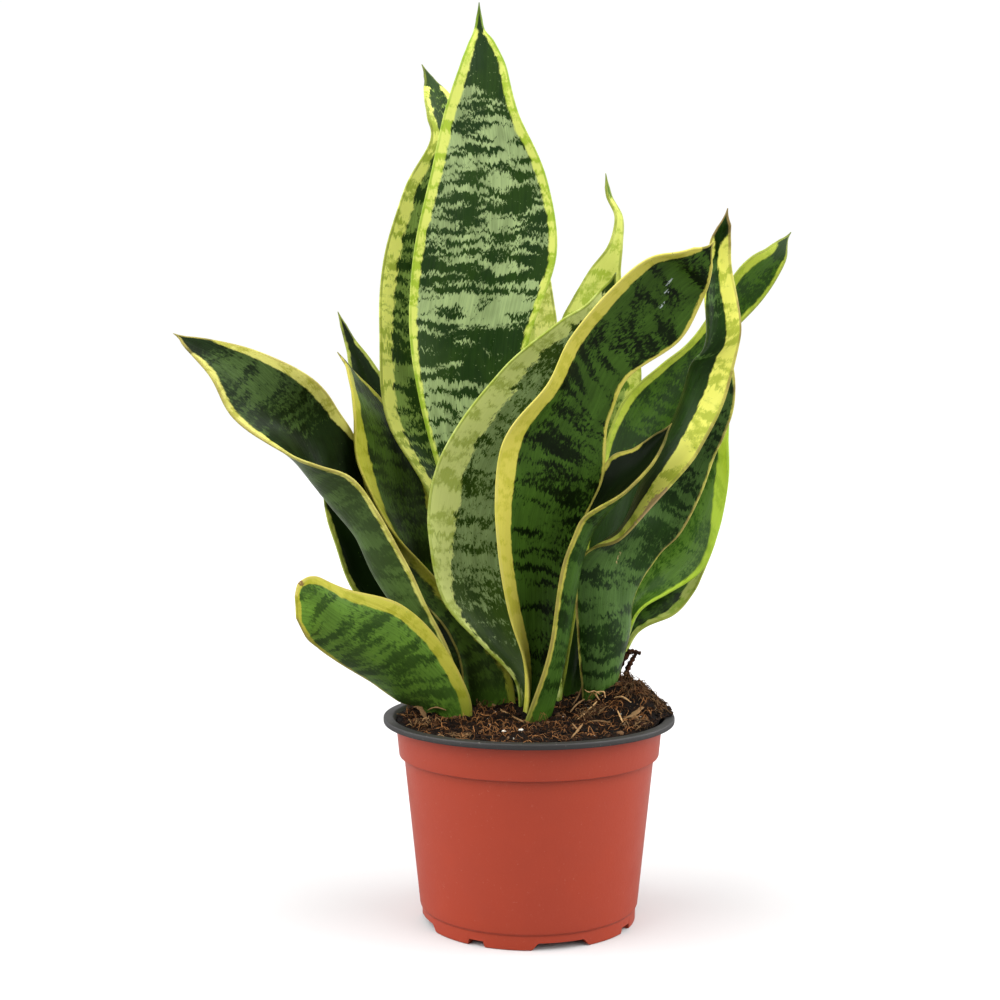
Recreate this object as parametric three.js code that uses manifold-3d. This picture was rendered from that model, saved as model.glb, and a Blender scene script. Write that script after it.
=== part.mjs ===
// A potted snake plant: sixteen banded, yellow-edged leaves standing in soil in a
// terracotta-coloured nursery pot. Millimetres, +Z up, the viewer stands at -Y.
import * as THREE from 'three';
import * as BufferGeometryUtils from 'three/addons/utils/BufferGeometryUtils.js';
import Module from 'manifold-3d';

const wasm = await Module();
wasm.setup();

// ---------------------------------------------------------------- driving sizes
const potHeight = 84;
const rimRadius = 60;
const rimLipHeight = 2.3;
const collarTopRadius = 54.8;
const collarBottomRadius = 53.6;
const collarHeight = 14;
const bodyTopRadius = 51.5;
const bodyBottomRadius = 45;
const footHeight = 6.2;
const footRadius = 44;
const wall = 1.3;
const floorLevel = 3.2;
const potSegments = 72;

// Notches in the foot ring, by turns a wide one and a small one.
const footNotchCount = 8;
const firstNotchTurn = 16;
const wideNotch = { spread: 31, height: 2.9 };
const smallNotch = { spread: 10, height: 2.4 };

const soilGap = 0.35;
const soilLevel = 82.6;
const soilFloorLevel = 5;
const soilRings = 9;
const soilSectors = 40;

const leafThickness = 2.4;
const edgeThickness = 1.1;
const stationsPerRow = 2;
const acrossSteps = 6;
const socketClearance = 1.25;

// The bounding box stands centred on the origin, so the pot's axis is a little beside it.
const potAxis = new THREE.Vector3(7.5, -14.8, 0);

// The viewer's eye, from the foot of the pot's axis.
const eye = new THREE.Vector3(-12, -611, 202);

const potColor = '#b4553c';
const soilColor = '#3a2a1e';
const paleLeaf = '#8ba270';
const greenLeaf = '#4c7a3f';
const darkLeaf = '#27492b';

// ---------------------------------------------------------------- the leaves
// Each row crosses the leaf once, from its root in the soil to its tip:
// left edge x, y, z, right edge x, y, z, and how deep the blade is hollowed between them.
// Left and right are as seen on the hollow face with the tip upwards.
// wave: height of the ripples in the two edges; waves: how many along the leaf.
// lean: how far the rows are moved away from the viewer, in even steps from root to tip.
const leaves = {
  leaf_tall: {
    color: paleLeaf,
    wave: 0.8,
    waves: 5,
    lean: [0, 2, 8, 18],
    rows: [
      [-18, 26, 76, -3, 29, 76, 4],
      [-22, 26, 110, -3, 31, 110, 6],
      [-30, 26, 154, -6, 33, 154, 6],
      [-38, 26, 184, -8, 33, 184, 5],
      [-46, 26, 214, -5, 34, 214, 5],
      [-50, 26, 244, 1, 35, 243, 5],
      [-48, 27, 278, 12, 36, 277, 4],
      [-41, 29, 310, 8, 37, 309, 3],
      [-35, 31, 337, -4.5, 36, 337, 2],
      [-28.5, 33, 357, -9.6, 36, 357, 1],
      [-24.8, 34, 367, -14.8, 35, 367, 0.5],
      [-22.3, 34, 373, -19.2, 34.4, 373, 0],
      [-21.2, 34, 383.5, -20.5, 34, 383.5, 0],
    ],
  },
  leaf_tall_back: {
    color: darkLeaf,
    wave: 1.0,
    waves: 5,
    lean: [0, 4, 14, 30],
    rows: [
      [-26, 31, 76, -12, 37, 76, 3],
      [-29, 36, 115, -14, 43, 115, 6],
      [-42, 40, 170, -17, 47, 168, 6],
      [-61, 41, 206, -25, 50, 204, 6],
      [-64.3, 42, 245, -27, 52, 244, 5],
      [-62, 43, 276, -27, 53, 276, 4],
      [-53.4, 45, 306, -29, 53, 306, 3],
      [-41.8, 47, 328, -30, 52, 328, 1.5],
      [-43.6, 47, 338, -29, 52, 337, 1],
      [-44.8, 48, 348.5, -33.5, 51, 347, 0.5],
      [-44.6, 48, 354, -40, 49.5, 353.6, 0],
      [-46.4, 48, 360.5, -45.8, 48, 361, 0],
    ],
  },
  leaf_hidden_back: {
    color: paleLeaf,
    wave: 0.6,
    waves: 4,
    lean: [0, 2, 10, 18],
    rows: [
      [-6, 38, 76, 6, 41, 76, 3],
      [-10, 43, 120, 5, 47, 120, 5],
      [-14, 45, 160, 6, 49, 160, 5],
      [-18, 46, 197, 10, 51, 197, 5],
      [-19, 47, 222, 13, 52, 222, 4],
      [-18, 48, 247, 13, 52, 247, 4],
      [-15, 49, 268, 10, 52, 268, 3],
      [-9, 50, 288, 6, 52, 288, 2],
      [-1, 52, 305, 0, 52, 305, 0],
    ],
  },
  leaf_spear_back: {
    color: greenLeaf,
    wave: 0.8,
    waves: 5,
    lean: [0, 5, 14, 26],
    rows: [
      [9, 43, 76, 20, 42, 76, 3],
      [7, 50, 115, 25, 54, 115, 5],
      [8, 54, 160, 35, 60, 160, 6],
      [10, 58, 206, 48, 65, 206, 6],
      [12, 60, 234, 52, 67, 226, 5],
      [16, 61, 250, 48, 67, 246, 4],
      [21, 62, 260, 44, 66, 260, 3],
      [29.5, 63, 274, 42, 65, 272, 2],
      [37, 63, 284, 43, 64, 284, 1],
      [40, 63, 297, 43, 64, 296, 0],
      [36, 62, 306, 38, 63, 306, 0],
      [35.1, 62, 316, 35.7, 62, 316, 0],
    ],
  },
  leaf_centre: {
    color: paleLeaf,
    wave: 0.8,
    waves: 5,
    lean: [0, -2, -6, -12],
    rows: [
      [-4, 8, 76, 12, 14, 76, 4],
      [-5, 6, 96, 14, 18, 94, 5],
      [-20, 3, 113, 8, 19, 112, 5],
      [-35, 2, 131, 4, 20, 132, 7],
      [-41, 3, 155, 3, 21, 152, 7],
      [-40, 4, 177, 6, 21, 170, 6],
      [-33, 5, 197, 12, 21, 184, 6],
      [-20, 7, 215, 20, 21, 200, 5],
      [-5, 9, 232, 29, 21, 217, 4],
      [13, 11, 246, 36, 19, 234, 3],
      [25, 13, 254, 37, 18, 249, 1],
      [36, 15, 267, 37, 15, 267, 0],
    ],
  },
  leaf_front: {
    color: darkLeaf,
    wave: 0.8,
    waves: 5,
    lean: [0, -8, -24, -54],
    rows: [
      [-3, -3, 76, 5, 4, 76, 3],
      [0, -3, 91, 6, 3, 91, 4],
      [-2, -5, 107, 10, 3, 108, 5],
      [-8, -10, 128, 14, 2, 130, 6],
      [-13, -16, 157, 20, 2, 156, 6],
      [-13, -18, 181, 29, 2, 179, 5],
      [-8, -18, 201, 31, 1, 193, 5],
      [8, -17, 221, 33, 1, 206, 5],
      [17, -15, 238, 40, 2, 223, 5],
      [32, -10, 257, 61.5, 6, 237.5, 4],
      [48, -4, 270, 71, 10, 254, 3],
      [63, 2, 274, 75, 10, 264, 1],
      [76, 8, 279, 77, 8, 279, 0],
    ],
  },
  leaf_front_cup: {
    color: greenLeaf,
    wave: 0.6,
    waves: 4,
    lean: [0, -7, -13, -20],
    rows: [
      [6, 4, 76, -4, -13, 76, 3],
      [8, 8, 90, 1, -14, 90, 5],
      [12, 10, 112, 9, -16, 117, 4.5],
      [15, 9, 142, 14, -18, 149, 5.6],
      [21, 11, 160, 19, -18, 162, 5.2],
      [28, 12, 176, 27, -17, 170, 6],
      [35, 12, 190, 40, -14, 178, 5],
      [45, 9, 194, 50, -8, 188, 3],
      [58, 0, 204, 59, 0, 204, 0],
    ],
  },
  leaf_right_twisted: {
    color: darkLeaf,
    wave: 0.5,
    waves: 5,
    lean: [0, -4, -14, -32],
    rows: [
      [36, 17, 80, 23, 11, 80, 4],
      [37, 19, 92, 23, 11, 92, 5],
      [43, 22, 114, 21, 11, 114, 6],
      [45, 24, 129, 20, 9, 131, 5],
      [50, 25, 140, 21, 6, 146, 2],
      [57, 25, 149, 27, 1, 153, -4],
      [65, 24, 157, 37, -4, 157, -10],
      [72, 23, 172, 50, -5, 170, -16],
      [78, 21, 188, 63, -5, 185, -18],
      [83, 19, 199, 70, -5, 196, -18],
      [86, 17, 213, 79, -6, 213, -18],
      [84, 13, 231, 84, -6, 233, -15],
      [74, 6, 248, 85, -5, 246, -6],
      [72.6, 3, 266, 82, -2, 266, -1],
      [74.2, 1, 278, 81.5, -1, 278.5, 0],
      [77.3, 1, 284.5, 81.5, -1, 285, 0],
      [80.4, 0, 291.4, 81.1, 0, 291.4, 0],
    ],
  },
  leaf_right_back: {
    color: greenLeaf,
    wave: 0.8,
    waves: 5,
    lean: [0, 4, 14, 26],
    rows: [
      [13, 33, 76, 24, 34, 76, 3],
      [18, 36, 105, 30, 41, 102, 5],
      [24, 40, 140, 43, 49, 132, 6],
      [31, 44, 170, 56, 56, 158, 6],
      [35, 48, 195, 66, 60, 182, 5],
      [44, 50, 215, 75, 62, 203, 5],
      [59.5, 53, 230, 80, 63, 221, 4],
      [76, 55, 243.6, 86, 63, 239, 3],
      [94.8, 58, 273, 105.8, 63, 259.5, 2],
      [108, 60, 282.5, 115.2, 62, 275.5, 1],
      [114, 61, 286.5, 116.8, 62, 284.6, 0],
      [118.3, 62, 290, 118.9, 62, 289.6, 0],
    ],
  },
  leaf_right_low: {
    color: paleLeaf,
    wave: 0.8,
    waves: 4,
    lean: [0, 2, 5, 8],
    rows: [
      [28, 30, 80, 36, 25, 80, 3],
      [33, 35, 105, 41, 29, 104, 4],
      [41, 40, 128, 47, 31, 121, 4],
      [50, 44, 145, 60, 34, 130, 4],
      [58, 46, 160, 76.3, 36, 141, 4],
      [67, 47, 176, 83.8, 39, 159, 4],
      [76, 47, 193, 88, 42, 180, 3],
      [82, 46, 205, 88, 43, 198, 1],
      [88, 44, 215, 89, 44, 215, 0],
    ],
  },
  leaf_right_under: {
    color: darkLeaf,
    wave: 0.6,
    waves: 3,
    lean: [0, 4, 8, 12],
    rows: [
      [30, 36, 80, 37, 31, 80, 2],
      [35, 44, 98, 40.5, 37, 98, 3],
      [43, 52, 119, 49, 44.5, 112, 4],
      [54, 55, 132, 65, 47, 119.5, 4],
      [64, 56, 142, 75, 49, 131, 3],
      [73, 55, 149, 80, 50, 142, 2],
      [84, 52, 154, 85, 52, 154, 0],
    ],
  },
  leaf_left_long: {
    color: darkLeaf,
    wave: 0.9,
    waves: 5,
    lean: [0, -6, -18, -36],
    rows: [
      [-27, 8, 76, -30, 21, 76, 4],
      [-30, 6, 98, -28, 18, 98, 6],
      [-36, 3, 115, -33, 15, 115, 8],
      [-44, 1, 133, -47, 17, 130, 10],
      [-53, 0, 149, -56, 26, 143, 11],
      [-61, -1, 167, -62, 35, 158, 12],
      [-73, -2, 180.5, -70, 39, 176, 14],
      [-86, -2, 187, -74.5, 40, 193, 14],
      [-100.5, -1, 192, -80.5, 35, 207.5, 9],
      [-120.5, 0, 206, -91, 16, 222.5, 3],
      [-131.3, 2, 224.3, -115, 9, 234.5, 1],
      [-147, 5, 241, -146, 5, 241, 0],
    ],
  },
  leaf_left_behind: {
    color: darkLeaf,
    wave: 0.6,
    waves: 3,
    lean: [0, 2, 6, 10],
    rows: [
      [-39, 20, 76, -33, 31, 76, 3],
      [-50, 29, 100, -41, 42, 104, 5],
      [-66, 31, 120, -50, 44, 128, 5],
      [-77.5, 32, 136, -60, 42, 147, 4],
      [-83, 33, 152, -71, 41, 162, 3],
      [-87.5, 34, 167, -79, 39, 173, 1],
      [-88.5, 35, 181, -87.8, 35, 182, 0],
    ],
  },
  leaf_left_short: {
    color: greenLeaf,
    wave: 0.8,
    waves: 3,
    lean: [0, -6, -14, -24],
    rows: [
      [-24, -1, 76, -38, 8, 76, 4],
      [-25, -2, 92, -44, 9, 85, 6],
      [-37, -7, 115, -54, 7, 88.5, 6],
      [-52, -14, 131, -65.5, 0, 97.5, 6],
      [-73, -22, 137.5, -78, -8, 107.5, 5],
      [-84.5, -27, 143.5, -86.5, -15, 115, 3],
      [-90, -30, 141.5, -90, -22, 121, 1],
      [-92, -29, 136, -92, -26, 127, 0],
    ],
  },
  leaf_left_small: {
    color: darkLeaf,
    wave: 0.6,
    waves: 4,
    lean: [0, 2, 8, 16],
    rows: [
      [-29, 34, 76, -18, 42, 76, 2],
      [-43, 48, 108, -27, 54, 108, 4],
      [-66, 60, 150, -33, 63, 150, 6],
      [-75.5, 67, 184, -43, 69, 184, 5],
      [-79, 71, 214, -56, 73, 210, 4],
      [-81, 73, 233, -69.5, 74, 231, 2],
      [-83, 73, 243, -79, 74, 243, 0],
      [-86.4, 73, 255, -85.7, 73, 255.4, 0],
    ],
  },
  leaf_left_arched: {
    color: darkLeaf,
    wave: 0.9,
    waves: 5,
    lean: [0, 0, 3, 8],
    rows: [
      [-5, 14, 76, -25, 25, 76, 5],
      [-7, 14, 95, -27, 27, 90, 6],
      [-14, 14, 108, -29, 29, 101, 6],
      [-25, 15, 122, -34, 33, 112, 7],
      [-44.5, 16, 143, -38, 44, 131, 9],
      [-56, 14, 158.5, -38, 51, 152, 7],
      [-65.5, 13, 172, -42, 54, 168, 6],
      [-71, 12, 189, -45, 56, 184, 5],
      [-73, 12, 207, -52, 57, 200, 3],
      [-75, 19, 222, -65, 48, 215, 2],
      [-78, 30, 229, -76, 36, 227, 0],
      [-83, 38, 235, -82, 38, 235, 0],
    ],
  },
};

// ---------------------------------------------------------------- helpers
const toSolid = (geometry) => {
  geometry.deleteAttribute('normal');
  geometry.deleteAttribute('uv');
  const merged = BufferGeometryUtils.mergeVertices(geometry, 1e-4);
  const mesh = new wasm.Mesh({
    numProp: 3,
    vertProperties: new Float32Array(merged.attributes.position.array),
    triVerts: new Uint32Array(merged.index.array),
  });
  mesh.merge();
  return new wasm.Manifold(mesh);
};

const toGeometry = (solid) => {
  const mesh = solid.getMesh();
  const geometry = new THREE.BufferGeometry();
  geometry.setAttribute('position', new THREE.BufferAttribute(new Float32Array(mesh.vertProperties), 3));
  geometry.setIndex(new THREE.BufferAttribute(new Uint32Array(mesh.triVerts), 1));
  geometry.computeVertexNormals();
  return geometry;
};

// A smooth curve through four neighbouring values, between the middle two.
const blend = (before, from, to, after, t) => {
  const slopeFrom = (to - before) / 2;
  const slopeTo = (after - from) / 2;
  const rise = to - from;
  const bend = 3 * rise - 2 * slopeFrom - slopeTo;
  const twist = slopeFrom + slopeTo - 2 * rise;
  return from + t * (slopeFrom + t * (bend + t * twist));
};

const rowAt = (rows, place) => {
  const index = Math.min(Math.floor(place), rows.length - 2);
  const t = place - index;
  const before = rows[Math.max(index - 1, 0)];
  const from = rows[index];
  const to = rows[index + 1];
  const after = rows[Math.min(index + 2, rows.length - 1)];
  return from.map((value, column) => blend(before[column], value, to[column], after[column], t));
};

// ---------------------------------------------------------------- one leaf
// Moving a point along its line of sight keeps the leaf's outline as the eye sees it.
const leaned = (x, y, z, lean) => new THREE.Vector3(x, y, z)
  .sub(eye)
  .multiplyScalar((y + lean - eye.y) / (y - eye.y))
  .add(eye);

// The middle surface of a blade: a grid of points, one line of them for each station.
const bladeGrid = ({ rows, lean, wave, waves }) => {
  const last = (rows.length - 1) * stationsPerRow;
  const leans = lean.map((value) => [value]);
  const crossings = [];
  for (let station = 0; station <= last; station += 1) {
    const [lx, ly, lz, rx, ry, rz, hollow] = rowAt(rows, station / stationsPerRow);
    const [moved] = rowAt(leans, (station / last) * (leans.length - 1));
    const left = leaned(lx, ly, lz, moved);
    const right = leaned(rx, ry, rz, moved);
    crossings.push({
      middle: left.clone().add(right).multiplyScalar(0.5),
      across: right.sub(left),
      hollow,
    });
  }
  return crossings.map(({ middle, across, hollow }, station) => {
    const above = crossings[Math.min(station + 1, last)].middle;
    const below = crossings[Math.max(station - 1, 0)].middle;
    const along = above.clone().sub(below).normalize();
    const facing = across.clone().cross(along).normalize();
    const share = station / last;
    const ripple = wave * Math.sin(2 * Math.PI * waves * share) * Math.sin(Math.PI * share);
    const line = [];
    for (let step = 0; step <= acrossSteps; step += 1) {
      const side = (2 * step) / acrossSteps - 1;
      const depth = hollow * (1 - side * side) - ripple * side ** 3;
      line.push(middle.clone()
        .addScaledVector(across, side / 2)
        .addScaledVector(facing, -depth));
    }
    return line;
  });
};

const gridNormal = (grid, station, step) => {
  const rowsUp = grid[Math.min(station + 1, grid.length - 1)];
  const rowsDown = grid[Math.max(station - 1, 0)];
  const along = rowsUp[step].clone().sub(rowsDown[step]);
  const line = grid[station];
  const across = line[Math.min(step + 1, acrossSteps)].clone().sub(line[Math.max(step - 1, 0)]);
  return across.cross(along).normalize();
};

// Two alike faces on either side of the middle surface, closed all round.
// clearance makes the wider socket that the soil leaves for the leaf.
const bladeGeometry = (leaf, clearance = 0) => {
  const grid = bladeGrid(leaf);
  const points = [];
  const width = acrossSteps + 1;
  const stationCount = grid.length;
  for (const face of [1, -1]) {
    grid.forEach((line, station) => {
      line.forEach((point, step) => {
        const side = (2 * step) / acrossSteps - 1;
        const full = edgeThickness + (leafThickness - edgeThickness) * (1 - side ** 4);
        const toTip = (stationCount - 1 - station) / (stationCount - 1);
        const thick = edgeThickness + (full - edgeThickness) * Math.min(1, toTip * 3);
        const shift = face * (thick / 2 + clearance);
        const outward = line[acrossSteps].clone().sub(line[0]).normalize();
        const spread = Math.sign(side) * (Math.abs(side) === 1 ? clearance : 0);
        const sunk = station === 0 ? clearance : 0;
        points.push(point.clone()
          .addScaledVector(gridNormal(grid, station, step), shift)
          .addScaledVector(outward, spread)
          .add(new THREE.Vector3(0, 0, -sunk)));
      });
    });
  }
  const at = (face, station, step) => face * stationCount * width + station * width + step;
  const triangles = [];
  const quad = (a, b, c, d) => triangles.push(a, b, c, a, c, d);
  for (let station = 0; station < stationCount - 1; station += 1) {
    for (let step = 0; step < acrossSteps; step += 1) {
      quad(at(0, station, step), at(0, station, step + 1),
        at(0, station + 1, step + 1), at(0, station + 1, step));
      triangles.push(at(1, station, step), at(1, station + 1, step + 1), at(1, station, step + 1));
      triangles.push(at(1, station, step), at(1, station + 1, step), at(1, station + 1, step + 1));
    }
    quad(at(0, station, 0), at(0, station + 1, 0), at(1, station + 1, 0), at(1, station, 0));
    quad(at(0, station, acrossSteps), at(1, station, acrossSteps),
      at(1, station + 1, acrossSteps), at(0, station + 1, acrossSteps));
  }
  const top = stationCount - 1;
  for (let step = 0; step < acrossSteps; step += 1) {
    quad(at(0, 0, step), at(1, 0, step), at(1, 0, step + 1), at(0, 0, step + 1));
    quad(at(0, top, step), at(0, top, step + 1), at(1, top, step + 1), at(1, top, step));
  }
  const geometry = new THREE.BufferGeometry();
  geometry.setAttribute('position', new THREE.Float32BufferAttribute(points.flatMap((p) => p.toArray()), 3));
  geometry.setIndex(triangles);
  geometry.computeVertexNormals();
  return geometry;
};

// ---------------------------------------------------------------- the pot
const potProfile = () => {
  const collarFoot = potHeight - rimLipHeight - collarHeight;
  const innerTop = collarTopRadius - wall;
  const innerCollarFoot = bodyTopRadius - wall;
  return [
    [0, floorLevel],
    [footRadius - 3.2, floorLevel],
    [footRadius - 3.2, 0.4],
    [footRadius - 2.8, 0],
    [footRadius - 0.4, 0],
    [footRadius, 0.5],
    [bodyBottomRadius - 0.9, footHeight - 0.5],
    [bodyBottomRadius, footHeight + 0.3],
    [bodyTopRadius, collarFoot],
    [collarBottomRadius - 0.3, collarFoot + 0.4],
    [collarBottomRadius, collarFoot + 1],
    [collarTopRadius, potHeight - rimLipHeight - 0.4],
    [rimRadius - 0.6, potHeight - rimLipHeight],
    [rimRadius, potHeight - rimLipHeight + 0.5],
    [rimRadius, potHeight - 0.6],
    [rimRadius - 0.5, potHeight],
    [rimRadius - 3.6, potHeight],
    [rimRadius - 4.2, potHeight - 0.5],
    [innerTop, potHeight - 4],
    [innerCollarFoot, collarFoot - 1],
    [bodyBottomRadius - wall - 0.1, floorLevel + 1.6],
    [0, floorLevel + 1.6],
  ].map(([radius, height]) => new THREE.Vector2(radius, height));
};

const footNotch = ({ spread, height }, turn) => {
  const half = (footRadius + 3) * Math.tan(THREE.MathUtils.degToRad(spread / 2));
  const outline = new THREE.Shape();
  outline.moveTo(-half, -1);
  outline.lineTo(half, -1);
  outline.lineTo(half * 0.8, height);
  outline.lineTo(-half * 0.8, height);
  outline.closePath();
  const notch = new THREE.ExtrudeGeometry(outline, { depth: 9, bevelEnabled: false });
  notch.rotateX(Math.PI / 2);
  notch.translate(0, 3.5 - footRadius + 1, 0);
  notch.rotateZ(THREE.MathUtils.degToRad(turn));
  return toSolid(notch);
};

const makePot = () => {
  let pot = toSolid(new THREE.LatheGeometry(potProfile(), potSegments).rotateX(Math.PI / 2));
  for (let index = 0; index < footNotchCount; index += 1) {
    const kind = index % 2 === 0 ? wideNotch : smallNotch;
    pot = pot.subtract(footNotch(kind, firstNotchTurn + (index * 360) / footNotchCount));
  }
  return toGeometry(pot);
};

// ---------------------------------------------------------------- the soil
// Height of the soil: level at the front left, heaped up at the back right.
const soilHeight = (x, y, outward) => {
  const heap = 12.5 * Math.exp(-(((x - 46) / 22) ** 2) - ((y - 15) / 27) ** 2);
  const swell = 2.5 * Math.exp(-(((x + 6) / 34) ** 2) - ((y - 14) / 26) ** 2);
  const clods = 0.7 * Math.sin(x * 0.31 + 1) * Math.cos(y * 0.27) + 0.5 * Math.sin(x * 0.13 - y * 0.41);
  const edge = 1 - outward ** 12;
  return soilLevel + heap * (0.55 + 0.45 * edge) + (swell + clods) * edge;
};

const soilGeometry = () => {
  const innerTop = rimRadius - 5.1 - soilGap;
  const innerBottom = bodyBottomRadius - wall - soilGap - 0.2;
  const points = [[0, 0, soilHeight(0, 0, 0)]];
  for (let ring = 1; ring <= soilRings; ring += 1) {
    for (let sector = 0; sector < soilSectors; sector += 1) {
      const turn = (2 * Math.PI * sector) / soilSectors;
      const radius = (innerTop * ring) / soilRings;
      const x = radius * Math.cos(turn);
      const y = radius * Math.sin(turn);
      points.push([x, y, soilHeight(x, y, ring / soilRings)]);
    }
  }
  // Down the inside of the pot: under the rim, under the collar and on its floor.
  const collarFoot = potHeight - rimLipHeight - collarHeight;
  const sides = [
    [collarTopRadius - wall - soilGap - 0.3, potHeight - 4],
    [bodyTopRadius - wall - soilGap - 0.3, collarFoot - 1.5],
    [innerBottom, soilFloorLevel + 0.6],
    [innerBottom - 0.6, soilFloorLevel + soilGap],
  ];
  for (const [radius, height] of sides) {
    for (let sector = 0; sector < soilSectors; sector += 1) {
      const turn = (2 * Math.PI * sector) / soilSectors;
      points.push([radius * Math.cos(turn), radius * Math.sin(turn), height]);
    }
  }
  points.push([0, 0, soilFloorLevel + soilGap]);
  const bands = soilRings + sides.length;
  const bottom = points.length - 1;
  const at = (band, sector) => 1 + (band - 1) * soilSectors + (sector % soilSectors);
  const triangles = [];
  for (let sector = 0; sector < soilSectors; sector += 1) {
    triangles.push(0, at(1, sector), at(1, sector + 1));
    for (let band = 1; band < bands; band += 1) {
      triangles.push(at(band, sector), at(band + 1, sector), at(band + 1, sector + 1));
      triangles.push(at(band, sector), at(band + 1, sector + 1), at(band, sector + 1));
    }
    triangles.push(bottom, at(bands, sector + 1), at(bands, sector));
  }
  const geometry = new THREE.BufferGeometry();
  geometry.setAttribute('position', new THREE.Float32BufferAttribute(points.flat(), 3));
  geometry.setIndex(triangles);
  return geometry;
};

const makeSoil = () => {
  let soil = toSolid(soilGeometry());
  for (const leaf of Object.values(leaves)) {
    soil = soil.subtract(toSolid(bladeGeometry(leaf, socketClearance)));
  }
  return toGeometry(soil);
};

// ---------------------------------------------------------------- the plant
const plant = new THREE.Group();
plant.name = 'potted_snake_plant';
plant.position.copy(potAxis);

const place = (name, geometry, color, roughness) => {
  const material = new THREE.MeshStandardMaterial({ color, roughness, metalness: 0 });
  const mesh = new THREE.Mesh(geometry, material);
  mesh.name = name;
  plant.add(mesh);
};

place('pot', makePot(), potColor, 0.45);
place('soil', makeSoil(), soilColor, 0.95);
for (const [name, leaf] of Object.entries(leaves)) {
  place(name, bladeGeometry(leaf), leaf.color, 0.4);
}

export default plant;
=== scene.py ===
import math
import random

import bmesh
import bpy
import numpy as np
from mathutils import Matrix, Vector, noise


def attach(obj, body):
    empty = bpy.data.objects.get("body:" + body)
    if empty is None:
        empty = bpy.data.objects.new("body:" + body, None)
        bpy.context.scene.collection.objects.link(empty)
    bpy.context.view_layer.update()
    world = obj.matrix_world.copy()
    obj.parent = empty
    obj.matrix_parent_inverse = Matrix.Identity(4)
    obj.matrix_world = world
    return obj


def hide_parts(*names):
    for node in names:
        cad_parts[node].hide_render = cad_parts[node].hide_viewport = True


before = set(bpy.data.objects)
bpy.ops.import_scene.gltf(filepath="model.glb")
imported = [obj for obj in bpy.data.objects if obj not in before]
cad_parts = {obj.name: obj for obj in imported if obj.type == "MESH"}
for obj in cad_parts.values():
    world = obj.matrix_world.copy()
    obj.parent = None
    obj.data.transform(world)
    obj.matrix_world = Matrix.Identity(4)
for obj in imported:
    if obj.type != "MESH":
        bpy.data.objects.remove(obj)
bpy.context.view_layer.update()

mm = 0.001
print("frame loaded")

# The pot's axis on the ground, and the viewer's eye from there, in millimetres.
potAxis = (7.5, -14.8)
viewerEye = (-12.0, -611.0, 202.0)


# Nodes are wired with these few helpers.
def linearColor(hexColor):
    parts = [int(hexColor[i:i + 2], 16) / 255 for i in (1, 3, 5)]
    return tuple(p / 12.92 if p <= 0.04045 else ((p + 0.055) / 1.055) ** 2.4 for p in parts) + (1.0,)


def feed(tree, value, socket):
    if isinstance(value, bpy.types.NodeSocket):
        tree.links.new(value, socket)
    else:
        socket.default_value = value


def doMath(tree, operation, *values):
    node = tree.nodes.new("ShaderNodeMath")
    node.operation = operation
    for value, socket in zip(values, node.inputs):
        feed(tree, value, socket)
    return node.outputs[0]


def smoothRise(tree, value, low, high, bottom=0.0, top=1.0):
    node = tree.nodes.new("ShaderNodeMapRange")
    node.interpolation_type = "SMOOTHSTEP"
    for item, socket in zip((value, low, high, bottom, top), node.inputs):
        feed(tree, item, socket)
    return node.outputs[0]


def mixColors(tree, share, first, second, way="MIX"):
    node = tree.nodes.new("ShaderNodeMix")
    node.data_type = "RGBA"
    node.blend_type = way
    for item, number in ((share, 0), (first, 6), (second, 7)):
        feed(tree, item, node.inputs[number])
    return node.outputs[2]


def putTogether(tree, x, y, z):
    node = tree.nodes.new("ShaderNodeCombineXYZ")
    for item, socket in zip((x, y, z), node.inputs):
        feed(tree, item, socket)
    return node.outputs[0]


def takeApart(tree, vector):
    node = tree.nodes.new("ShaderNodeSeparateXYZ")
    tree.links.new(vector, node.inputs[0])
    return node.outputs


def cloudiness(tree, place, scale, detail=2.0, roughness=0.5):
    node = tree.nodes.new("ShaderNodeTexNoise")
    feed(tree, place, node.inputs["Vector"])
    for socket, value in (("Scale", scale), ("Detail", detail), ("Roughness", roughness)):
        node.inputs[socket].default_value = value
    return node.outputs["Fac"]


def readAttribute(tree, name, output="Vector"):
    node = tree.nodes.new("ShaderNodeAttribute")
    node.attribute_name = name
    return node.outputs[output]


def objectPlace(tree):
    return tree.nodes.new("ShaderNodeTexCoord").outputs["Object"]


def newGroup(name, colors, numbers=()):
    tree = bpy.data.node_groups.new(name, "ShaderNodeTree")
    sockets = [(color, "INPUT", "Color") for color in colors]
    sockets += [(number, "INPUT", "Float") for number in numbers]
    sockets += [("Color", "OUTPUT", "Color")]
    sockets += [(number, "OUTPUT", "Float") for number in ("Roughness", "Height")]
    for socket, way, kind in sockets:
        tree.interface.new_socket(socket, in_out=way, socket_type="NodeSocket" + kind)
    return tree, tree.nodes.new("NodeGroupInput").outputs, tree.nodes.new("NodeGroupOutput").inputs


def giveOut(tree, made, color, roughness, height):
    for name, value in (("Color", color), ("Roughness", roughness), ("Height", height)):
        tree.links.new(value, made[name])


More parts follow.
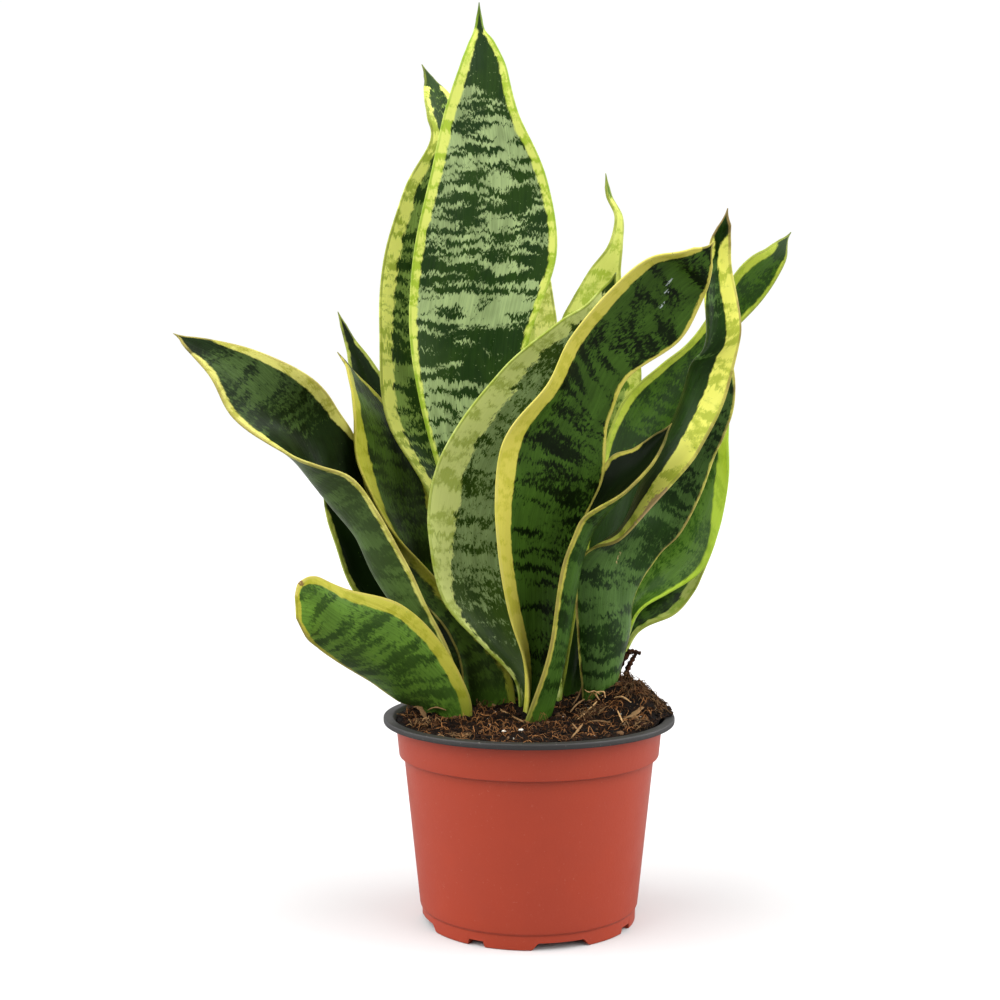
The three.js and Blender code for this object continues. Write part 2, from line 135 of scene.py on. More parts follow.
def newMaterial(name, group, values, plain, bumpStrength, bumpDistance):
    material = bpy.data.materials.new(name)
    material.use_nodes = True
    tree = material.node_tree
    shader = tree.nodes["Principled BSDF"]
    for socket, value in plain.items():
        shader.inputs[socket].default_value = value
    surface = tree.nodes.new("ShaderNodeGroup")
    surface.node_tree = group
    for socket, value in values.items():
        surface.inputs[socket].default_value = value
    tree.links.new(surface.outputs["Color"], shader.inputs["Base Color"])
    tree.links.new(surface.outputs["Roughness"], shader.inputs["Roughness"])
    bump = tree.nodes.new("ShaderNodeBump")
    bump.inputs["Strength"].default_value = bumpStrength
    bump.inputs["Distance"].default_value = bumpDistance
    tree.links.new(surface.outputs["Height"], bump.inputs["Height"])
    tree.links.new(bump.outputs["Normal"], shader.inputs["Normal"])
    return material


# A piece is made from points in millimetres round the pot's axis.
def makePiece(name, points, faces, materials, nodes=(), facets=None, sharp=None):
    mesh = bpy.data.meshes.new(name)
    shift = np.array([potAxis[0], potAxis[1], 0.0])
    mesh.from_pydata(((np.asarray(points, float) + shift) * mm).tolist(), [], faces)
    for material in materials:
        mesh.materials.append(material)
    if facets is not None:
        mesh.polygons.foreach_set("material_index", facets)
    mesh.shade_smooth()
    if sharp:
        mesh.set_sharp_from_angle(angle=math.radians(sharp))
    piece = bpy.data.objects.new(name, mesh)
    bpy.context.scene.collection.objects.link(piece)
    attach(piece, "root")
    if nodes:
        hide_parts(*nodes)
    return piece


def addNumbers(piece, name, values):
    values = np.asarray(values, np.float32)
    vector = values.ndim == 3
    attribute = piece.data.attributes.new(name, "FLOAT_VECTOR" if vector else "FLOAT", "POINT")
    attribute.data.foreach_set("vector" if vector else "value", values.ravel())


# Every leaf's banding, yellow edge and skin. Attributes on the leaves, in millimetres:
# leafPlace is across, up and in from the edge; leafSkin is how far inside the yellow edge, then the
# back face and the extra darkness, which adds painted shade on the side towards the viewer; leafFoot
# is the height above the soil; leafMark is above 0 on the marks.
leafColors = ("Ground", "Band", "Deep", "Yellow", "Yellow Green", "Rim", "Back", "Foot", "Mark")
leafNumbers = ("Seed", "Band Length", "Band Level", "Ragged", "Softness", "Blotches", "Edge Softness",
               "Edge Ragged", "Spill", "Skew", "Back Share", "Moss")

# Patterns on the skin: scale across, scale along, detail, roughness and a shift that sets it apart.
leafGrain = {
    "drips": (0.95, 0.13, 3.0, 0.65, 1.0),
    "sway": (0.08, 0.04, 2.0, 0.5, 2.0),
    "flecks": (0.95, 0.5, 4.0, 0.7, 5.0),
    "patches": (0.07, 0.035, 1.0, 0.5, 6.0),
    "groundTone": (0.16, 0.05, 2.0, 0.6, 8.0),
    "bandTone": (0.1, 0.045, 3.0, 0.6, 9.0),
    "streaks": (1.9, 0.018, 3.0, 0.6, 10.0),
    "edgeWander": (0.5, 0.2, 4.0, 0.65, 11.0),
    "edgeMottle": (0.14, 0.2, 4.0, 0.65, 12.0),
    "edgeStreaks": (1.4, 0.05, 2.0, 0.6, 13.0),
    "rimTone": (0.0, 0.09, 2.0, 0.5, 14.0),
    "footWander": (0.4, 0.1, 2.0, 0.5, 15.0),
    "wax": (0.25, 0.08, 4.0, 0.6, 16.0),
    "ribs": (0.8, 0.008, 2.0, 0.5, 17.0),
    "pores": (2.4, 1.6, 2.0, 0.5, 18.0),
    "markSpots": (1.3, 0.7, 3.0, 0.65, 19.0),
    "specks": (1.1, 1.1, 1.0, 0.5, 20.0),
}

# Where an effect starts and is full, then its values there.
leafFades = {
    "groundTone": (0.35, 0.7),
    "bandTone": (0.38, 0.62),
    "streaks": (0.3, 0.75),
    # Painted shade between the leaves, and the dark dry tips, start and are full here.
    "paintedShadeAndDarkTip": (0.6, 1.5, 0.0, 0.9),
    "edgeMottle": (0.44, 0.66),
    "rimLine": (0.15, 0.75, 1.0, 0.0),
    "rimTone": (0.35, 0.6, 0.35, 0.85),
    "paleFoot": (0.0, 15.0, 0.5, 0.0),
    "markSpots": (0.35, 0.5, 0.0, 0.9),
    "specks": (0.73, 0.78, 0.0, 0.6),
    "wax": (0.3, 0.75, 0.27, 0.46),
}

leafPaint = {
    "seedStep": 7.3,
    "bandSeedStep": 3.1,
    "bandShift": 4.0,
    "bandAcross": 0.05,
    "bandDetail": 3.0,
    "drips": 3.4,
    "sway": 8.0,
    "patches": 0.3,
    "groundMix": 0.35,
    "streaks": 0.16,
    # Near black, for painted shade between the leaves and for the dark dry tips.
    "paintedShadeAndDarkTip": (0.003, 0.006, 0.002, 1.0),
    "edgeWander": 2.0,
    "edgeRuns": -2.0,
    "edgeBands": 1.2,
    "edgeStreaks": 0.1,
    "footWander": 8.0,
    "scarWander": 2.2,
    "pores": 0.25,
}


def makeLeafGroup():
    tree, given, made = newGroup("leafBanding", leafColors, leafNumbers)
    across, along, inward = takeApart(tree, readAttribute(tree, "leafPlace"))
    insideYellow, backFace, darknessAndPaintedShade = takeApart(tree, readAttribute(tree, "leafSkin"))
    foot = readAttribute(tree, "leafFoot", "Fac")
    mark = readAttribute(tree, "leafMark", "Fac")
    black, white = (0, 0, 0, 1), (1, 1, 1, 1)

    def add(first, second):
        return doMath(tree, "ADD", first, second)

    def times(first, second):
        return doMath(tree, "MULTIPLY", first, second)

    def grain(name):
        acrossScale, alongScale, detail, roughness, shift = leafGrain[name]
        depth = doMath(tree, "MULTIPLY_ADD", given["Seed"], leafPaint["seedStep"], shift)
        place = putTogether(tree, times(across, acrossScale), times(along, alongScale), depth)
        return cloudiness(tree, place, 1.0, detail, roughness)

    def fade(value, name):
        return smoothRise(tree, value, *leafFades[name])

    def centred(value, size):
        return times(doMath(tree, "SUBTRACT", value, 0.5), size)

    def mix(share, first, second, way="MIX"):
        return mixColors(tree, share, first, second, way)

    # The bands cross the leaf; their upper and lower edges run out in drips along it.
    drips = times(centred(grain("drips"), leafPaint["drips"]), given["Ragged"])
    sway = centred(grain("sway"), leafPaint["sway"])
    slanted = doMath(tree, "MULTIPLY_ADD", across, given["Skew"], along)
    climb = doMath(tree, "DIVIDE", add(add(slanted, drips), sway), given["Band Length"])
    depth = doMath(tree, "MULTIPLY_ADD", given["Seed"], leafPaint["bandSeedStep"], leafPaint["bandShift"])
    bandPlace = putTogether(tree, times(across, leafPaint["bandAcross"]), climb, depth)
    bands = cloudiness(tree, bandPlace, 1.0, leafPaint["bandDetail"])
    flecks = times(centred(grain("flecks"), 1.0), given["Moss"])
    patches = centred(grain("patches"), leafPaint["patches"])
    darkness = add(add(bands, flecks), add(patches, darknessAndPaintedShade))
    low = doMath(tree, "SUBTRACT", given["Band Level"], given["Softness"])
    dark = smoothRise(tree, darkness, low, add(given["Band Level"], given["Softness"]))

    greener = mix(leafPaint["groundMix"], given["Ground"], given["Band"])
    ground = mix(fade(grain("groundTone"), "groundTone"), given["Ground"], greener)
    band = mix(fade(grain("bandTone"), "bandTone"), given["Band"], given["Deep"])
    streaks = mix(fade(grain("streaks"), "streaks"), black, white)
    face = mix(leafPaint["streaks"], mix(dark, ground, band), streaks, "OVERLAY")
    # The back face takes some of a paler grey-green: painted sheen.
    face = mix(times(backFace, given["Back Share"]), face, given["Back"])
    # Where the darkness passes 0.6 a near black is mixed in: painted shade on the side towards the viewer,
    # where the leaves shade each other, and the dark dry tips.
    face = mix(fade(darknessAndPaintedShade, "paintedShadeAndDarkTip"), face, leafPaint["paintedShadeAndDarkTip"])

    # Yellow edge, greener in blotches that carry on the bands.
    wander = times(centred(grain("edgeWander"), leafPaint["edgeWander"]), given["Edge Ragged"])
    runs = times(centred(bands, leafPaint["edgeRuns"]), given["Spill"])
    softness = given["Edge Softness"]
    yellowAt = smoothRise(tree, add(add(insideYellow, wander), runs), times(softness, -1.0), softness)
    mottle = add(grain("edgeMottle"), centred(bands, leafPaint["edgeBands"]))
    blotch = times(fade(mottle, "edgeMottle"), given["Blotches"])
    yellow = mix(blotch, given["Yellow"], given["Yellow Green"])
    yellow = mix(leafPaint["edgeStreaks"], yellow, mix(grain("edgeStreaks"), black, white), "OVERLAY")
    skin = mix(yellowAt, face, yellow)
    skin = mix(times(fade(inward, "rimLine"), fade(grain("rimTone"), "rimTone")), skin, given["Rim"])

    paleFoot = fade(add(foot, centred(grain("footWander"), leafPaint["footWander"])), "paleFoot")
    skin = mix(paleFoot, skin, given["Foot"])
    markSpots = fade(add(mark, centred(grain("markSpots"), leafPaint["scarWander"])), "markSpots")
    skin = mix(markSpots, skin, given["Mark"])
    skin = mix(times(fade(grain("specks"), "specks"), dark), skin, given["Ground"])
    relief = doMath(tree, "MULTIPLY_ADD", grain("pores"), leafPaint["pores"], grain("ribs"))
    giveOut(tree, made, skin, fade(grain("wax"), "wax"), relief)
    return tree


leafGroup = makeLeafGroup()


def makeLeafMaterial(name, look):
    def lookName(socket):
        return socket[0].lower() + socket[1:].replace(" ", "")

    values = {socket: linearColor(look[lookName(socket)]) for socket in leafColors}
    values.update({socket: look[lookName(socket)] for socket in leafNumbers})
    plain = {
        "Specular IOR Level": look["specular"],
        "Coat Weight": look["coat"],
        "Coat Roughness": look["coatRoughness"],
    }
    return newMaterial(name, leafGroup, values, plain, look["bump"], look["bumpDepth"])


# The leaves: each row crosses a leaf once, from root to tip: left edge x, y, z, right edge x, y, z and
# the hollow between them. wave and waves: height and number of the ripples in the edges. lean: how far
# the rows are moved away from the viewer along the line of sight, in even steps from root to tip.
leafShapes = {
    "leaf_tall": {
        "slot": "pale_leaf", "wave": 0.8, "waves": 5, "lean": [0, 2, 8, 18],
        "rows": [
            [-18, 26, 76, -3, 29, 76, 4], [-22, 26, 110, -3, 31, 110, 6],
            [-30, 26, 154, -6, 33, 154, 6], [-38, 26, 184, -8, 33, 184, 5],
            [-46, 26, 214, -5, 34, 214, 5], [-50, 26, 244, 1, 35, 243, 5],
            [-48, 27, 278, 12, 36, 277, 4], [-41, 29, 310, 8, 37, 309, 3],
            [-35, 31, 337, -4.5, 36, 337, 2], [-28.5, 33, 357, -9.6, 36, 357, 1],
            [-24.8, 34, 367, -14.8, 35, 367, 0.5], [-22.3, 34, 373, -19.2, 34.4, 373, 0],
            [-21.2, 34, 383.5, -20.5, 34, 383.5, 0],
        ],
    },
    "leaf_tall_back": {
        "slot": "dark_leaf", "wave": 1.0, "waves": 5, "lean": [0, 4, 14, 30],
        "rows": [
            [-26, 31, 76, -12, 37, 76, 3], [-29, 36, 115, -14, 43, 115, 6],
            [-42, 40, 170, -17, 47, 168, 6], [-61, 41, 206, -25, 50, 204, 6],
            [-64.3, 42, 245, -27, 52, 244, 5], [-62, 43, 276, -27, 53, 276, 4],
            [-53.4, 45, 306, -29, 53, 306, 3], [-41.8, 47, 328, -30, 52, 328, 1.5],
            [-43.6, 47, 338, -29, 52, 337, 1], [-44.8, 48, 348.5, -33.5, 51, 347, 0.5],
            [-44.6, 48, 354, -40, 49.5, 353.6, 0], [-46.4, 48, 360.5, -45.8, 48, 361, 0],
        ],
    },
    "leaf_hidden_back": {
        "slot": "pale_leaf", "wave": 0.6, "waves": 4, "lean": [0, 2, 10, 18],
        "rows": [
            [-6, 38, 76, 6, 41, 76, 3], [-10, 43, 120, 5, 47, 120, 5], [-14, 45, 160, 6, 49, 160, 5],
            [-18, 46, 197, 10, 51, 197, 5], [-19, 47, 222, 13, 52, 222, 4],
            [-18, 48, 247, 13, 52, 247, 4], [-15, 49, 268, 10, 52, 268, 3],
            [-9, 50, 288, 6, 52, 288, 2], [-1, 52, 305, 0, 52, 305, 0],
        ],
    },
    "leaf_spear_back": {
        "slot": "green_leaf", "wave": 0.8, "waves": 5, "lean": [0, 5, 14, 26],
        "rows": [
            [9, 43, 76, 20, 42, 76, 3], [7, 50, 115, 25, 54, 115, 5], [8, 54, 160, 35, 60, 160, 6],
            [10, 58, 206, 48, 65, 206, 6], [12, 60, 234, 52, 67, 226, 5], [16, 61, 250, 48, 67, 246, 4],
            [21, 62, 260, 44, 66, 260, 3], [29.5, 63, 274, 42, 65, 272, 2],
            [37, 63, 284, 43, 64, 284, 1], [40, 63, 297, 43, 64, 296, 0], [36, 62, 306, 38, 63, 306, 0],
            [35.1, 62, 316, 35.7, 62, 316, 0],
        ],
    },
    "leaf_centre": {
        "slot": "pale_leaf", "wave": 0.8, "waves": 5, "lean": [0, -2, -6, -12],
        "rows": [
            [-4, 8, 76, 12, 14, 76, 4], [-5, 6, 96, 14, 18, 94, 5], [-20, 3, 113, 8, 19, 112, 5],
            [-35, 2, 131, 4, 20, 132, 7], [-41, 3, 155, 3, 21, 152, 7], [-40, 4, 177, 6, 21, 170, 6],
            [-33, 5, 197, 12, 21, 184, 6], [-20, 7, 215, 20, 21, 200, 5], [-5, 9, 232, 29, 21, 217, 4],
            [13, 11, 246, 36, 19, 234, 3], [25, 13, 254, 37, 18, 249, 1], [36, 15, 267, 37, 15, 267, 0],
        ],
    },
    "leaf_front": {
        "slot": "dark_leaf", "wave": 0.8, "waves": 5, "lean": [0, -8, -24, -54],
        "rows": [
            [-3, -3, 76, 5, 4, 76, 3], [0, -3, 91, 6, 3, 91, 4], [-2, -5, 107, 10, 3, 108, 5],
            [-8, -10, 128, 14, 2, 130, 6], [-13, -16, 157, 20, 2, 156, 6],
            [-13, -18, 181, 29, 2, 179, 5], [-8, -18, 201, 31, 1, 193, 5], [8, -17, 221, 33, 1, 206, 5],
            [17, -15, 238, 40, 2, 223, 5], [32, -10, 257, 61.5, 6, 237.5, 4],
            [48, -4, 270, 71, 10, 254, 3], [63, 2, 274, 75, 10, 264, 1], [76, 8, 279, 77, 8, 279, 0],
        ],
    },
    "leaf_front_cup": {
        "slot": "green_leaf", "wave": 0.6, "waves": 4, "lean": [0, -7, -13, -20],
        "rows": [
            [6, 4, 76, -4, -13, 76, 3], [8, 8, 90, 1, -14, 90, 5], [12, 10, 112, 9, -16, 117, 4.5],
            [15, 9, 142, 14, -18, 149, 5.6], [21, 11, 160, 19, -18, 162, 5.2],
            [28, 12, 176, 27, -17, 170, 6], [35, 12, 190, 40, -14, 178, 5],
            [45, 9, 194, 50, -8, 188, 3], [58, 0, 204, 59, 0, 204, 0],
        ],
    },
    "leaf_right_twisted": {
        "slot": "dark_leaf", "wave": 0.5, "waves": 5, "lean": [0, -4, -14, -32],
        "rows": [
            [36, 17, 80, 23, 11, 80, 4], [37, 19, 92, 23, 11, 92, 5], [43, 22, 114, 21, 11, 114, 6],
            [45, 24, 129, 20, 9, 131, 5], [50, 25, 140, 21, 6, 146, 2], [57, 25, 149, 27, 1, 153, -4],
            [65, 24, 157, 37, -4, 157, -10], [72, 23, 172, 50, -5, 170, -16],
            [78, 21, 188, 63, -5, 185, -18], [83, 19, 199, 70, -5, 196, -18],
            [86, 17, 213, 79, -6, 213, -18], [84, 13, 231, 84, -6, 233, -15],
            [74, 6, 248, 85, -5, 246, -6], [72.6, 3, 266, 82, -2, 266, -1],
            [74.2, 1, 278, 81.5, -1, 278.5, 0], [77.3, 1, 284.5, 81.5, -1, 285, 0],
            [80.4, 0, 291.4, 81.1, 0, 291.4, 0],
        ],
    },
    "leaf_right_back": {
        "slot": "green_leaf", "wave": 0.8, "waves": 5, "lean": [0, 4, 14, 26],
        "rows": [
            [13, 33, 76, 24, 34, 76, 3], [18, 36, 105, 30, 41, 102, 5], [24, 40, 140, 43, 49, 132, 6],
            [31, 44, 170, 56, 56, 158, 6], [35, 48, 195, 66, 60, 182, 5], [44, 50, 215, 75, 62, 203, 5],
            [59.5, 53, 230, 80, 63, 221, 4], [76, 55, 243.6, 86, 63, 239, 3],
            [94.8, 58, 273, 105.8, 63, 259.5, 2], [108, 60, 282.5, 115.2, 62, 275.5, 1],
            [114, 61, 286.5, 116.8, 62, 284.6, 0], [118.3, 62, 290, 118.9, 62, 289.6, 0],
        ],
    },
    "leaf_right_low": {
        "slot": "pale_leaf", "wave": 0.8, "waves": 4, "lean": [0, 2, 5, 8],
        "rows": [
            [28, 30, 80, 36, 25, 80, 3], [33, 35, 105, 41, 29, 104, 4], [41, 40, 128, 47, 31, 121, 4],
            [50, 44, 145, 60, 34, 130, 4], [58, 46, 160, 76.3, 36, 141, 4],
            [67, 47, 176, 83.8, 39, 159, 4], [76, 47, 193, 88, 42, 180, 3],
            [82, 46, 205, 88, 43, 198, 1], [88, 44, 215, 89, 44, 215, 0],
        ],
    },
    "leaf_right_under": {
        "slot": "dark_leaf", "wave": 0.6, "waves": 3, "lean": [0, 4, 8, 12],
        "rows": [
            [30, 36, 80, 37, 31, 80, 2], [35, 44, 98, 40.5, 37, 98, 3], [43, 52, 119, 49, 44.5, 112, 4],
            [54, 55, 132, 65, 47, 119.5, 4], [64, 56, 142, 75, 49, 131, 3],
            [73, 55, 149, 80, 50, 142, 2], [84, 52, 154, 85, 52, 154, 0],
        ],
    },
    "leaf_left_long": {
        "slot": "dark_leaf", "wave": 0.9, "waves": 5, "lean": [0, -6, -18, -36],
        "rows": [
            [-27, 8, 76, -30, 21, 76, 4], [-30, 6, 98, -28, 18, 98, 6], [-36, 3, 115, -33, 15, 115, 8],
            [-44, 1, 133, -47, 17, 130, 10], [-53, 0, 149, -56, 26, 143, 11],
            [-61, -1, 167, -62, 35, 158, 12], [-73, -2, 180.5, -70, 39, 176, 14],
            [-86, -2, 187, -74.5, 40, 193, 14], [-100.5, -1, 192, -80.5, 35, 207.5, 9],
            [-120.5, 0, 206, -91, 16, 222.5, 3], [-131.3, 2, 224.3, -115, 9, 234.5, 1],
            [-147, 5, 241, -146, 5, 241, 0],
        ],
    },
    "leaf_left_behind": {
        "slot": "dark_leaf", "wave": 0.6, "waves": 3, "lean": [0, 2, 6, 10],
        "rows": [
            [-39, 20, 76, -33, 31, 76, 3], [-50, 29, 100, -41, 42, 104, 5],
            [-66, 31, 120, -50, 44, 128, 5], [-77.5, 32, 136, -60, 42, 147, 4],
            [-83, 33, 152, -71, 41, 162, 3], [-87.5, 34, 167, -79, 39, 173, 1],
            [-88.5, 35, 181, -87.8, 35, 182, 0],
        ],
    },
    "leaf_left_short": {
        "slot": "green_leaf", "wave": 0.8, "waves": 3, "lean": [0, -6, -14, -24],
        "rows": [
            [-24, -1, 76, -38, 8, 76, 4], [-25, -2, 92, -44, 9, 85, 6], [-37, -7, 115, -54, 7, 88.5, 6],
            [-52, -14, 131, -65.5, 0, 97.5, 6], [-73, -22, 137.5, -78, -8, 107.5, 5],
            [-84.5, -27, 143.5, -86.5, -15, 115, 3], [-90, -30, 141.5, -90, -22, 121, 1],
            [-92, -29, 136, -92, -26, 127, 0],
        ],
    },
    "leaf_left_small": {
        "slot": "dark_leaf", "wave": 0.6, "waves": 4, "lean": [0, 2, 8, 16],
        "rows": [
            [-29, 34, 76, -18, 42, 76, 2], [-43, 48, 108, -27, 54, 108, 4],
            [-66, 60, 150, -33, 63, 150, 6], [-75.5, 67, 184, -43, 69, 184, 5],
            [-79, 71, 214, -56, 73, 210, 4], [-81, 73, 233, -69.5, 74, 231, 2],
            [-83, 73, 243, -79, 74, 243, 0], [-86.4, 73, 255, -85.7, 73, 255.4, 0],
        ],
    },
    "leaf_left_arched": {
        "slot": "dark_leaf", "wave": 0.9, "waves": 5, "lean": [0, 0, 3, 8],
        "rows": [
            [-5, 14, 76, -25, 25, 76, 5], [-7, 14, 95, -27, 27, 90, 6], [-14, 14, 108, -29, 29, 101, 6],
            [-25, 15, 122, -34, 33, 112, 7], [-44.5, 16, 143, -38, 44, 131, 9],
            [-56, 14, 158.5, -38, 51, 152, 7], [-65.5, 13, 172, -42, 54, 168, 6],
            [-71, 12, 189, -45, 56, 184, 5], [-73, 12, 207, -52, 57, 200, 3],
            [-75, 19, 222, -65, 48, 215, 2], [-78, 30, 229, -76, 36, 227, 0],
            [-83, 38, 235, -82, 38, 235, 0],
        ],
    },
}


# How the leaves are coloured. yellowLeft and yellowRight are the widths of the yellow edge in
# millimetres, in even steps from root to tip; shade makes stretches darker or paler in the same way.
# The painted shade list darkens the side towards the viewer alone, down to near black: painted shade
# where the leaves shade each other. skew slants the bands; spill lets them run into the edge;
# edgeRagged roughens the edge's border. yellowBack is the share of the edge's width behind, yellowEnd
# its width at the tip. spine, point and tipShade: length of the dry tip, of the narrowing before it,
# and how dark it is. marks are spots of the Mark colour: across, along and their half widths.
# back and backShare: a paler grey-green mixed into the back face, a painted sheen.
plainLook = {
    "bandLength": 4.4, "bandLevel": 0.5, "softness": 0.08, "ragged": 2.6, "moss": 0.5, "skew": 0.0,
    "blotches": 0.8, "edgeSoftness": 0.5, "edgeRagged": 0.8, "spill": 0.8, "backShare": 0.03,
    "rim": "#8f9a3c", "back": "#6f8a68", "foot": "#4c741f", "mark": "#a8906a", "marks": [],
    "shade": [0], "innerPaintedShade": [0], "yellowBack": 1.0, "yellowEnd": 0.0,
    "spine": 13.0, "point": 7.0, "tipShade": 0.5,
    "specular": 0.12, "coat": 0.03, "coatRoughness": 0.22, "bump": 0.35, "bumpDepth": 0.0005,
}

# The two leaves in the shade at the far left.
shadedLook = {
    "ground": "#46642a", "band": "#1f350e", "deep": "#172a08", "back": "#3f5c2c",
    "backShare": 0.05, "bandLevel": 0.52, "softness": 0.1,
}

